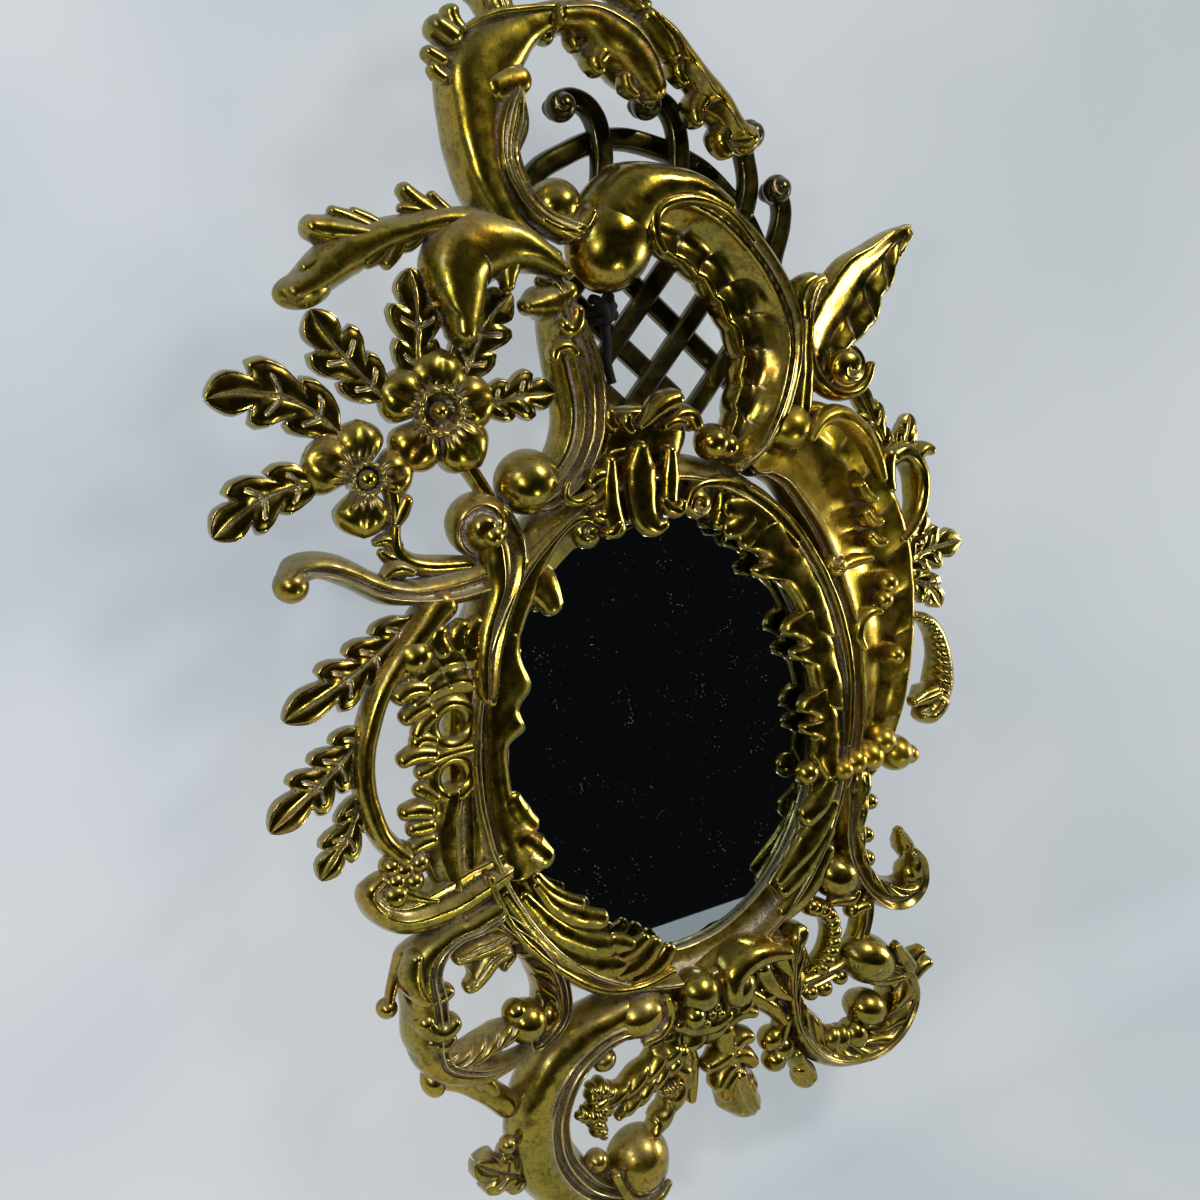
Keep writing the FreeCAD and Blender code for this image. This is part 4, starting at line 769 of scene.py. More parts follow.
CAD_FINISHES = {
    "mirror_glass": mirror, "backboard": board, "backboard_brads": steel,
    "hanging_plate": brass, "hanging_screws": brass,
    "lattice_rising_bars": dark_gilt,
    "lattice_falling_bars": dark_gilt,
}
for node_name, finish in CAD_FINISHES.items():
    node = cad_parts[node_name]
    node.data.materials.clear()
    node.data.materials.append(finish)

# The camera stands where the photograph's perspective puts it; 1200 pixels to a side
CAMERA_PLACE = (-342.4 * MM, -629.0 * MM, 222.5 * MM)
CAMERA_RIGHT = (0.87616, -0.47119, -0.10159)
CAMERA_UP = (0.18406, 0.13226, 0.97398)
PICTURE_SIZE = 1200.0
FOCAL_PIXELS = 1325.0
camera_data = bpy.data.cameras.new("camera")
camera_data.sensor_width = 36.0
camera_data.lens = camera_data.sensor_width * FOCAL_PIXELS / PICTURE_SIZE
camera_data.clip_start = 20 * MM
camera = new_object("camera", camera_data)
stand(camera, [CAMERA_RIGHT, CAMERA_UP, np.cross(CAMERA_RIGHT, CAMERA_UP)], CAMERA_PLACE)
bpy.context.scene.camera = camera

# Black yarn tied round one crossing of the lattice, with a short limp tail
YARN_DIAMETER = 5 * MM
TAIL_DEPTH = 14.9 * MM
TAIL_SPOTS = [(-10, 178), (-8.5, 171.5), (-10.5, 165), (-10, 159), (-8.5, 153.5)]
tail_points = as_points(*drawn(TAIL_SPOTS).T, np.full(len(TAIL_SPOTS), TAIL_DEPTH))
tail_curve = bpy.data.curves.new("cord_tail_yarn", "CURVE")
tail_curve.dimensions = "3D"
tail_curve.bevel_depth = YARN_DIAMETER / 2
tail_curve.use_fill_caps = True
tail_line = tail_curve.splines.new("NURBS")
tail_line.points.add(len(tail_points) - 1)
tail_line.points.foreach_set(
    "co", np.column_stack([tail_points, np.ones(len(tail_points))]).ravel())
tail_line.order_u = 3
tail_line.use_endpoint_u = True
tail = new_object("cord_tail_yarn", tail_curve)
tail_curve.materials.append(yarn)
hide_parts("cord_tail")
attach(tail, "root")


def knot_turn(middle, reach, tilt, low, high, radius):
    """One turn of yarn over the knot: an arch from low depth up to high and down again."""
    angle = np.radians(tilt)
    along = np.linspace(-1, 1, 9)
    across = middle[0] + reach * along * np.cos(angle)
    up = middle[1] + reach * along * np.sin(angle)
    depth = low + (high - low) * np.sqrt(np.clip(1 - along ** 2, 0, 1))
    return cable(as_points(across, up, depth), radius)


KNOT_MIDDLE = (-10.5 * MM, 229.4 * MM)
KNOT_FLOOR = 13.5 * MM
KNOT_STRAND_RADIUS = 2.3 * MM
knot = piece("cord_knot", [
    # each turn: its middle's shift across and up, its reach, its tilt in degrees, its top depth
    knot_turn(np.add(KNOT_MIDDLE, (dx * MM, dz * MM)), reach * MM, tilt, KNOT_FLOOR, high * MM,
              KNOT_STRAND_RADIUS)
    for dx, dz, reach, tilt, high in (
        (0.0, -3.0, 7.0, 22.0, 18.5), (0.0, 0.5, 7.5, 8.0, 19.5), (0.5, 3.5, 6.5, 30.0, 18.0),
        (-1.0, 0.0, 7.0, 112.0, 21.0), (3.0, 0.0, 6.5, 80.0, 20.5), (1.5, 1.0, 7.5, 140.0, 20.0))
], yarn)

# Ring with its moulded ridge, as (margin, depth) in mm
RING_PROFILE = [
    (0.0, 21.0), (0.0, 24.2), (0.8, 25.0), (13.2, 25.0), (13.7, 26.5), (14.3, 32.0),
    (15.0, 35.2), (16.0, 36.3), (17.2, 36.2), (18.2, 35.0), (19.0, 33.2), (20.2, 31.9),
    (22.6, 30.4), (25.2, 27.8), (27.4, 24.6), (28.8, 20.6), (29.0, 17.0), (28.0, 10.0),
    (26.4, 4.0), (25.0, 0.6), (24.2, 0.0), (6.6, 0.0), (6.0, 0.6), (6.0, 20.4), (5.6, 21.0),
]
piece("oval_frame", [], gilt, rings=[oval_sweep(RING_PROFILE)])

# Leaf strips round the sight: a plain ground, and long smooth tongues that end in round tips over
# the glass. Each strip has its ground's angles, waves and reach, then its tongues, then thin rims.
# Each tongue or rim is a drawn line with its widths.
ROUND = relief(1.0, 2.1)
CREASED = relief(1.0, 2.3, ridges=[(0.15, 0.10, -0.12)])
TONGUE = (27, 36)
THIN_RIM = (25.4, 38.5)
BORDERS = {
    "border_leaf_left": ((146.0, 214.0, 4, 3.0), [
        ([(-100, -8), (-96, -16), (-92, -20)], [13, 17, 13]),
        ([(-96, -26), (-90, -32), (-86, -35.5)], [15, 19, 15]),
    ], []),
    "border_leaf_lower_left": ((215.0, 259.0, 5, 2.0), [
        ([(-92, -42), (-82, -53), (-69, -60)], [6, 9, 8]),
        ([(-92, -46), (-82, -58), (-70, -66), (-57.5, -70.5)], [6, 11, 14, 12]),
        ([(-100, -50), (-86, -67), (-69, -79), (-55, -84)], [8, 14, 17, 15]),
        ([(-110, -46), (-98, -64), (-82, -81), (-64, -91), (-49, -95)], [6, 12, 16, 18, 15]),
        ([(-52, -83), (-46, -85), (-42, -86.5)], [12, 13, 10]),
        ([(-46, -90), (-38, -88), (-33, -86)], [12, 13, 9]),
        ([(-48, -98), (-38, -97), (-30, -93), (-26, -90)], [12, 15, 15, 11]),
        ([(-40, -103), (-30, -102.5), (-22, -99), (-18, -95)], [12, 15, 15, 11]),
    ], [
        ([(-118, -36), (-114, -50), (-105, -66), (-84, -87), (-60, -102), (-38, -106),
          (-18, -104)], [5, 6, 6, 5]),
    ]),
    "border_leaf_lower_right": ((303.0, 330.0, 3, 2.0), [
        ([(100, -42), (92, -50), (83, -54)], [12, 18, 16]),
        ([(100, -52), (90, -62), (76, -71), (64, -77), (58.5, -80)], [10, 20, 20, 13, 6]),
        ([(96, -64), (84, -74), (72, -82), (62, -86)], [10, 16, 15, 10]),
        ([(94, -74), (83, -85), (71, -93), (61, -97)], [12, 18, 18, 12]),
    ], []),
    "border_leaf_right": ((331.0, 401.0, 4, 1.0), [
        ([(86, 74), (72, 86), (58, 93), (47, 95)], [16, 22, 20, 14]),
        ([(58, 90), (51, 87), (45, 86)], [15, 17, 12]),
        ([(66, 86), (60, 83), (54, 80)], [15, 17, 12]),
    ], [
        ([(58, 103), (78, 90), (96, 70), (109, 48), (116, 25), (117, 0), (112, -24)],
         [4, 5, 5, 4]),
    ]),
}

# Leaves of the right strip, each with two pointed tips over the glass: outer edge, then inner edge
RIGHT_LEAVES = [
    ([(80, 85), (88, 78), (96, 68), (102, 60), (107, 50), (110, 40), (113, 28)],
     [(66, 85), (55, 82), (52, 77.5), (61, 72.5), (64, 69), (58, 66.5), (59, 63), (69, 60.5),
      (78, 55), (85, 46), (89, 36)]),
    ([(96, 43), (106, 35), (111, 25), (114, 13), (116, 2), (116, -7)],
     [(86, 42), (76.5, 39), (74.5, 35), (82, 31), (86, 27.5), (79, 25.5), (80, 22), (87, 19),
      (91, 11), (94.5, -1)]),
    ([(102, 5), (109, -4), (111, -15), (110, -26), (105, -37)],
     [(93, 4), (83, 1), (81.5, -3), (88, -6.5), (90, -9), (83, -10), (82.5, -13.5), (89, -17),
      (88, -24), (89, -30), (94, -38)]),
]

for name, (ground, tongues, rims) in BORDERS.items():
    shells = [border_band(*ground)]
    shells += [stem(line, widths, ROUND, TONGUE, 90, 44, girth=0.5) for line, widths in tongues]
    shells += [stem(line, widths, ROUND, THIN_RIM, 150, 24) for line, widths in rims]
    if name == "border_leaf_left":
        shells.append(scroll(
            [(-84, 84), (-92, 70), (-100, 58), (-106, 44), (-110, 26), (-112, 2),
             (-112, -21), (-108, -40)],
            [(-77, 78), (-82, 62), (-84, 49), (-81, 35), (-88, 29), (-86, 20),
             (-95, 16), (-98, 6), (-98, -2), (-95, -11), (-88, -20),
             (-90, -27), (-82, -34), (-83, -40), (-92, -42)],
            relief(0.95, 2.0), (26, 35.5), ends=(0.3, 0.3), rows=190, columns=56))
    if name == "border_leaf_right":
        shells += [scroll(outer, inner, relief(0.95, 2.4), (26, 37), ends=(0.3, 0.4),
                          rows=170, columns=60) for outer, inner in RIGHT_LEAVES]
        shells.append(volute((84.5, -33.5), 7.5, (26, 38)))
    piece(name, shells, gilt_clean)

# Crest
piece("crest_c_scroll", [
    scroll(
        [(-5, 234.5), (15, 237), (45, 232), (75, 215), (96, 193), (105, 173), (102, 152),
         (92, 133), (75, 117), (55, 109)],
        [(5, 210), (20, 203), (33, 197), (45, 188), (56, 173), (62, 160), (60, 148), (56, 137),
         (54, 130), (48, 125)],
        relief(0.98, 3.5, ridges=[(-0.95, 0.03, 0.06), (-0.36, 0.05, 0.10), (-0.24, 0.03, 0.05)],
               coves=[(-0.90, -0.74, 0.08), (-0.74, -0.44, 0.05), (-0.22, 0.98, 0.70)],
               ruffles=[(9, -0.12, 0.96, 0.09, 0.35)], beads=[(34, -0.29, 0.03, 0.04)]),
        ends=(0.2, 0.6), frills=[(1, 9, 1.4, 0.2, 0.97)], rows=250, columns=110),
    volute((39, 124.5), 10), volute((46, 122), 7),
    stem([(-10, 205), (-7, 212), (0, 220), (14, 227), (34, 228.5), (56, 220)],
         [40, 46, 42, 26, 18, 10], relief(1.0, 2.0), (12, 44.5), 150, 72),
    volute((-8.5, 210), 23.5, (12, 46), stretch=1.12, lean=60),
    stem([(14, 204), (10, 213), (13, 220), (24, 223.5), (38, 223), (56, 216), (68, 205)],
         [5, 9, 9, 7, 5, 3], ROUND, (28, 44), 110, 36),
], gilt_clean)
piece("crest_leaf_stem", [
    scroll(
        [(-56, 206), (-75, 219), (-84, 232), (-89, 248), (-90.5, 265), (-88.5, 279), (-80, 289),
         (-64, 295), (-45, 298.5), (-22, 301)],
        [(-40, 208), (-53, 217), (-61, 230), (-63, 245), (-61, 258), (-54, 268), (-47, 275),
         (-42, 281), (-35, 286), (-24, 290)], relief(0.98, 2.5), rows=200, columns=80),
    stem([(-84, 286), (-88, 288.5), (-91, 290)], [12, 13, 12], ROUND, (24, 40), 60, 36),
    stem([(-90, 278), (-94.5, 280), (-96.5, 281)], [7, 8, 7], ROUND, (24, 37), 60, 36),
    stem([(-90, 272), (-94, 274.5), (-95, 275.5)], [6, 7, 6], ROUND, (24, 36), 60, 36),
    stem([(-80, 289), (-83, 293), (-83, 295)], [9, 10, 9], ROUND, (24, 38), 60, 36),
    stem([(-66, 268), (-58, 270), (-53, 270.5)], [14, 16, 14], ROUND, (BACK, 41), 60, 40,
         girth=0.7),
    stem([(-80, 288), (-66, 293), (-50, 295), (-34, 296)], [3, 4, 4, 3], ROUND, (30, 42), 80, 20),
], gilt_dusty)
piece("crest_leaf_flange", [
    scroll(
        [(-38, 210), (-53, 217), (-64, 227), (-70, 239), (-70, 252), (-65, 262), (-58, 267.5)],
        [(-26, 219), (-38, 222), (-48, 227), (-54.5, 235), (-56.5, 244), (-51, 253), (-53, 263)],
        relief(0.90, 2.6, ridges=[(-0.62, 0.10, 0.10), (-0.12, 0.09, 0.10), (0.38, 0.09, 0.08)],
               coves=[(-0.52, -0.22, 0.06), (0.45, 0.95, 0.12)]), (BACK, 43),
        frills=[(1, 3, 2.2, 0.45, 1.0)], rows=160, columns=88),
    volute((-38.5, 225), 13, stretch=1.1, lean=20),
    stem([(-50, 219), (-40, 215), (-29, 216), (-23, 221)], [5, 8, 8, 5], ROUND, (20, BERRY_FRONT),
         70, 36),
], gilt)
piece("crest_leaf_head", [
    scroll(
        [(-30, 299), (-10, 300), (7, 297.5), (18, 290), (24.5, 279), (25, 269)],
        [(-30, 287), (-17, 285), (-11, 278), (-2, 274.5), (5, 269), (12, 264)],
        relief(0.98, 2.1, ridges=[(-0.35, 0.12, 0.08)]), (14, 46), ends=(0.6, 0.9), rows=140,
        columns=72),
    stem([(-30, 292), (-34, 289), (-35, 286.5)], [13, 12, 9], ROUND, ARM, 50, 36),
    stem([(-17, 288), (-20, 285), (-20, 283)], [11, 10, 7], ROUND, ARM, 50, 36),
    stem([(-8, 280), (-11.5, 276.5), (-11, 274)], [14, 13, 9], ROUND, (16, 41), 60, 40),
    stem([(22, 294), (30, 288), (34.5, 280)], [12, 14, 10], ROUND, (16, 38), 60, 40),
    stem([(4, 271), (4.5, 267.5), (8, 264.5)], [7, 8, 6], ROUND, (16, 40), 60, 36),
], gilt_dusty)
piece("crest_leaf_tail", [
    scroll(
        [(22, 298), (35, 292), (45, 284), (52, 277), (60, 272), (68, 263), (73, 256), (80, 250)],
        [(30, 288), (37, 280), (40, 272), (46, 266), (50, 258), (58, 253), (63, 246), (72, 243)],
        relief(0.95, 2.2, coves=[(0.15, 0.95, 0.16)], ruffles=[(3, 0.0, 1.0, 0.14, 0.5)]),
        frills=[(-1, 3, 1.2, 0.1, 0.95)], rows=150, columns=72),
    stem([(42, 279), (38, 274), (40, 270)], [11, 11, 8], ROUND, ARM, 50, 36),
    stem([(52, 264), (46, 258), (46, 254.5)], [13, 13, 9], ROUND, ARM, 50, 36),
    stem([(66, 252), (61, 246), (63, 242)], [13, 13, 9], ROUND, ARM, 50, 36),
    volute((77.5, 247), 7, ARM, stretch=1.2, lean=60),
], gilt)
piece("crest_top_leaf", [
    scroll(
        [(-66, 295), (-70, 306), (-62, 317), (-45, 323), (-25, 325), (-5, 320), (12, 312),
         (24, 300)],
        [(-50, 297), (-50, 305), (-43, 311), (-30, 313), (-15, 311), (-5, 307), (2, 302),
         (8, 298)],
        relief(0.92, 2.6, ruffles=[(5, -1.0, 0.0, 0.22, -0.5)], ridges=[(0.3, 0.10, 0.10)]),
        frills=[(-1, 5, 2.4, 0.05, 0.95)]),
], gilt_dusty)

# Bars that rise from the lattice's rim, each with a rolled knob
KNOBBED = [
    [(-25, 263), (-17, 267), (-6, 264), (-0.5, 255), (0, 243), (-3, 230)],
    [(24, 263), (32, 266.5), (41, 263), (46, 253), (45, 238)],
    [(101, 227), (108, 223.5), (108.5, 214), (103, 203), (97, 188)],
    [(86, 250), (87.5, 240), (88.5, 232), (84, 219)],
]
piece("knobbed_bars", [
    *[stem(line, [11, 12, 12], relief(0.92, 3.0), (7.5, 17), 110, 40) for line in KNOBBED],
    *[volute(line[0], 7.8, (8, 29), turns=0.9, groove=0.2) for line in KNOBBED],
], dark_gilt)
piece("lattice_rim", [
    stem([(-44, 232), (-37, 239), (-20, 246), (-3, 250.5), (19, 251), (39, 246.5), (59, 239),
          (75, 228), (88, 215), (97, 198), (103, 180)], [12, 12, 12], relief(0.8, 3.5), (3, 13),
         200, 36),
], dark_gilt)

# Upper left
piece("ribbed_c_scroll", [
    scroll(
        [(-40, 200), (-28, 182), (-20, 160), (-21, 142), (-29, 124), (-42, 112), (-58, 106)],
        [(-49, 180), (-50, 168), (-49, 156), (-48, 143), (-52, 133), (-59, 126), (-66, 122)],
        relief(0.62, 3.0,
               ridges=[(-0.90, 0.06, 0.24), (-0.56, 0.11, 0.36), (-0.14, 0.11, 0.34),
                       (0.26, 0.10, 0.30), (0.62, 0.14, 0.16)], coves=[(0.40, 0.98, 0.12)]),
        rows=200, columns=110),
    stem([(-36, 184), (-38, 179), (-42, 177), (-45, 179)], [8, 10, 10, 8], ROUND,
         (24, BERRY_FRONT), 70, 36),
    stem([(-40, 168), (-45, 171), (-50, 170), (-52, 167)], [6, 8, 8, 6], ROUND, (24, 41), 70, 36),
    volute((-68, 119.5), 16.5, stretch=1.05, lean=10),
    stem([(-40, 112), (-50, 110), (-54.5, 113), (-53, 118)], [5, 6, 5, 3], ROUND, (24, 43), 70,
         32),
], gilt)
ACANTHUS = [
    # dusty upper ridge, out to the long lobe at the left
    ([(-36, 198), (-48, 208), (-64, 217), (-84, 221.5), (-104, 221.5), (-124, 218.5), (-140, 215),
      (-154, 209), (-166, 203), (-173, 200.5)], [5, 9, 12, 14, 13, 13, 18, 23, 20, 14], ARM),
    ([(-148, 210), (-158, 210.5), (-167, 208.5)], [12, 12, 7], (14, 34)),
    ([(-136, 219), (-147, 220.5), (-156, 221.5), (-160.5, 222.5)], [8, 14, 16, 12], (14, 35)),
    ([(-133, 221), (-143, 225), (-150, 227.5)], [7, 10, 6], (14, 32)),
    ([(-126, 220.5), (-133, 224), (-140, 227)], [5, 7, 5], (14, 31)),
    # leaf behind the ridge
    ([(-98, 224), (-106, 228), (-114, 234)], [8, 12, 8], (14, 31)),
    ([(-104, 225), (-111, 226.5), (-117, 227.5)], [8, 8, 4], (14, 30)),
    ([(-92, 224), (-97, 228), (-101, 231.5)], [7, 7, 5], (14, 30)),
    # short lobes below the ridge
    ([(-126, 216), (-132, 211), (-137, 208.5)], [12, 11, 5], (14, 33)),
    ([(-120, 216), (-124, 211), (-128, 207.5)], [10, 9, 6], (14, 33)),
    ([(-110, 217), (-115, 214), (-121, 213)], [8, 7, 4], (14, 31)),
    # broad fold that droops to a point
    ([(-42, 200), (-56, 208), (-74, 212), (-90, 208), (-94, 198), (-94, 188), (-96.5, 180)],
     [8, 19, 31, 39, 37, 28, 9], (16, 43)),
    ([(-100, 210), (-105, 204), (-107, 198)], [12, 10, 5], (16, 35)),
    ([(-64, 208), (-68, 202), (-70, 196)], [10, 13, 6], (18, 38)),
    # bulb leaf
    ([(-38, 192), (-46, 189), (-54, 188.5), (-61, 187.5)], [12, 19, 17, 6], (16, 39)),
    ([(-40, 196), (-47, 195), (-53, 197)], [6, 7, 3], (16, 34)),
]
piece("wing_acanthus", [
    stem(line, widths, ROUND, depths, 60 + 12 * len(line), 44)
    for line, widths, depths in ACANTHUS
] + [volute((-168, 201), 8.5, (16, 35), stretch=1.65, lean=8)], gilt_dusty)
piece("large_flower", flower((-112, 152), [
    (-109, 163.5, 15.5, 1.0), (-94.5, 153.5, 14.5, 0.0), (-101, 138.5, 15, 1.5),
    (-123, 140.5, 14, 0.0), (-126, 158.5, 14, 1.0)], 10, 4.5), gilt)
piece("small_flower", flower((-152, 130.5), [
    (-166, 136.5, 15, 2.0), (-151.5, 143, 12.5, 0.0), (-139.5, 130.5, 12.5, 0.5),
    (-154, 119.5, 14.5, 1.0)], 7, 5), gilt)
LEAVES = {
    "spray_leaves_left": [
        ([(-160, 148), (-174, 159), (-190, 165.5), (-204, 167.5), (-219, 166.5)], 34, 3),
        ([(-172, 131), (-190, 131), (-208, 126), (-225, 117)], 30, 3),
        ([(-136, 158), (-148, 170), (-158, 181), (-166, 194)], 31, 3)],
    "spray_leaves_right": [
        ([(-119, 162), (-117, 180), (-115.5, 193), (-116, 206)], 30, 3),
        ([(-98, 162), (-86, 176), (-76, 187), (-65, 193)], 32, 3),
        ([(-88, 150), (-74, 153), (-60, 153.5), (-48, 153)], 27, 3)],
    "tendril_leaves": [
        ([(-136, 75), (-160, 62), (-185, 52), (-207, 45)], 29, 4),
        ([(-166, 36), (-184, 24), (-202, 14), (-221, 4)], 29, 4),
        ([(-174, 11), (-181, 0), (-191, -11), (-201, -20)], 23, 3)],
}
for name, rows in LEAVES.items():
    piece(name, [leaf(line, width, count) for line, width, count in rows], gilt_leaf)
piece("spray_stems", [
    stem([(-100, 132), (-95, 124), (-90, 116)], [9, 8], None, (16, 30), 60, 32),
    stem([(-140, 126), (-139, 116), (-141, 108), (-140, 100), (-133, 95), (-120, 92.5),
          (-105, 91)], [8, 7, 8, 10, 11, 10, 9], ROUND, (16, 31), columns=40),
    stem([(-140, 112), (-136, 116), (-133, 120)], [6, 10, 8], ROUND, (18, 32), 50, 32),
    stem([(-140, 103), (-145, 106), (-151, 106)], [8, 8, 3], ROUND, (18, 30), 50, 32),
    stem([(-138, 98), (-144, 99), (-149, 102)], [9, 8, 3], ROUND, (18, 30), 50, 32),
    volute((-141, 94), 6, (16, 31)),
], gilt)

# Left side
piece("left_shoulder", [
    scroll(
        [(-80, 110), (-74, 98), (-76, 86), (-86, 70), (-96, 52), (-102, 36)],
        [(-100, 100), (-102, 90), (-102, 80), (-108, 68), (-112, 54), (-112, 40)],
        relief(0.92, 2.6, ridges=[(-0.90, 0.05, 0.14), (-0.70, 0.04, 0.08)],
               coves=[(-0.86, -0.72, 0.10), (-0.60, 0.20, 0.22)]), rows=160, columns=80),
    volute((-97, 106), 16.5, turns=1.35, start=0.55, hand=-1, groove=0.30),
    volute((-95, 102), 6.5, (30, 44)),
], gilt)
piece("left_arm_scroll", [
    scroll(
        [(-96, 93), (-120, 90), (-140, 90), (-155, 96), (-168, 103), (-182, 106.5), (-194, 104.5),
         (-200, 99)],
        [(-98, 76), (-118, 76), (-137, 79), (-150, 81), (-162, 87), (-174, 93.5), (-183, 96),
         (-188, 95)], relief(0.90, 2.4, ridges=[(0.45, 0.06, 0.14)], coves=[(-0.25, 0.40, 0.22)]),
        ARM, columns=60),
    volute((-193.5, 95.5), 8.5, ARM),
    stem([(-136, 93), (-143, 95), (-150, 93)], [6, 10, 5], ROUND, (16, 34), 50, 32),
], gilt_dusty)
piece("left_tendril", [
    stem([(-122, 78), (-140, 65), (-156, 52), (-167, 36), (-173, 18), (-172, 2), (-167, -11),
          (-159, -19)], [20, 14, 12, 12, 12, 11], columns=44),
    *bosses([(-160, -18, 7), (-166.5, -21.5, 6), (-165, -28, 6), (-156, -30, 6), (-152, -23, 6),
             (-160, -24, 6.5)], (15, 35)),
], gilt)
SHELL_LOBES = [
    # drawn line, widths, front depth in mm: from the top down
    ([(-126, 60), (-128, 65), (-127, 68)], [13, 14, 11], 36),
    ([(-117, 60), (-117, 65), (-114, 68)], [12, 13, 10], 35),
    ([(-109, 60), (-109, 65), (-106, 68)], [12, 13, 10], 35),
    ([(-138, 47), (-145, 47.5), (-151, 45.5)], [10, 12, 10], 36),
    ([(-138, 40), (-144, 38.5), (-149, 36.5)], [10, 11, 9], 35),
    ([(-136, 35), (-141, 32), (-144, 29)], [10, 10, 8], 34),
    ([(-137, 25), (-142, 26.5), (-145, 25.5)], [10, 11, 9], 34),
    ([(-138, 20), (-146, 21), (-153, 20)], [10, 12, 9], 35),
    ([(-137, 15), (-141, 13.5), (-145, 13)], [9, 10, 8], 33),
    ([(-140, 2), (-144, 5), (-147, 7)], [9, 10, 8], 34),
    ([(-144, -3), (-150, -1.5), (-156, -1)], [10, 12, 9], 35),
    ([(-144, -9), (-149, -9), (-153, -8.5)], [11, 12, 9], 34),
    ([(-144, -15), (-150, -15.5), (-153, -16)], [10, 11, 9], 34),
]
piece("left_shellwork", [
    scroll(
        [(-103, 66), (-108, 45), (-110, 25), (-111, 5), (-111, -12), (-110, -36)],
        [(-120, 60), (-120, 45), (-117, 25), (-120, 5), (-130, -12), (-130, -36)],
        relief(0.85, 2.0), (20, 33), rows=150, columns=56),
    scroll(
        [(-106, 67), (-120, 68), (-133, 66), (-146, 57)],
        [(-108, 36), (-122, 38.5), (-133, 37), (-142, 34)],
        relief(0.86, 2.1, coves=[(-0.1, 0.4, 0.16)], ruffles=[(3, -1.0, 0.6, 0.12, 0.4)]),
        (20, 36), ends=(0.3, 0.3), rows=90, columns=64),
    stem([(-138, 40), (-138.5, 27), (-138.5, 12), (-139, -4)], [12, 10, 10, 14], ROUND, (20, 32),
         90, 44),
    stem([(-114, 18.5), (-126, 18.5), (-138, 18)], [9, 10, 12], ROUND, (20, 34), 80, 48),
    scroll(
        [(-112, 0), (-110, -14), (-112, -28), (-118, -40)],
        [(-140, 2), (-148, -10), (-150, -22), (-144, -36)],
        relief(0.90, 2.1, coves=[(-0.35, 0.15, 0.16), (0.5, 0.85, 0.12)]), (18, 35),
        ends=(0.3, 0.4), rows=120, columns=80),
] + [
    stem(line, widths, ROUND, (22, front), 60, 36, girth=0.9)
    for line, widths, front in SHELL_LOBES
] + [volute((-140, 60), 11, (18, 39)), volute((-147.5, 55.5), 6, (18, 35))],
    gilt, rings=[eyelet((-125.5, 29.5), 7.2, 15, (24, 33)),
                 eyelet((-128.5, 8), 6.6, 14, (24, 33))])
piece("left_hip_scroll", [
    stem([(-110, -36), (-123, -39), (-137, -42.5), (-152, -45), (-166, -43.5), (-176, -37),
          (-179, -29), (-173, -25)], [22, 26, 27, 24, 20, 16, 12, 9],
         relief(0.95, 2.4, coves=[(-0.1, 0.75, 0.22)]), (14, 38), 170, 56),
    volute((-166.5, -33.5), 8.5, ARM),
    stem([(-162, -33), (-154, -37.5), (-146, -40)], [10, 7, 3], ROUND, (18, 34), 60, 32),
], gilt)

# Lower left and foot
piece("foot_c_scroll", [
    scroll(
        [(-32, -111), (-45, -109), (-60, -110), (-75, -112), (-88, -116), (-100, -121),
         (-109, -129), (-116, -138), (-121, -149), (-123, -161), (-122, -172), (-118, -183),
         (-110, -194), (-98, -203), (-83, -210), (-68, -213)],
        [(-33, -134), (-42, -132), (-52, -130), (-62, -132), (-71, -136), (-78, -141), (-83, -147),
         (-86, -154), (-87, -161), (-86, -168), (-83, -175), (-79, -181), (-75, -186), (-70, -190),
         (-65, -193), (-60, -195)],
        relief(0.94, 2.8, ridges=[(0.10, 0.04, 0.10), (0.42, 0.06, 0.12), (0.74, 0.06, 0.14)],
               coves=[(0.14, 0.40, 0.16), (0.44, 0.72, 0.16), (0.76, 0.98, 0.14)]), rows=260,
        columns=110),
    leaf([(-110, -178), (-122, -174), (-134, -168), (-143, -162)], 28, 3, ARM),
    volute((-40, -120), 13, (14, 45), stretch=1.25, lean=15),
    stem([(-26, -114), (-25, -122), (-31, -128.5), (-42, -130)], [5, 7, 7, 5], ROUND, (20, 43), 90,
         36),
    volute((-64, -135.5), 6, (14, 38), stretch=1.2, lean=15),
    *bosses([(-126, -156, 5), (-75, -182, 7)], (BACK, 38)),
    volute((-48, -192), 19, (BACK, 45), stretch=1.08, lean=80),
    stem([(-68, -188), (-64, -198), (-55, -207), (-44, -208), (-36, -202)], [6, 7, 7, 6, 4], ROUND,
         (20, 42), 90, 36),
], gilt)
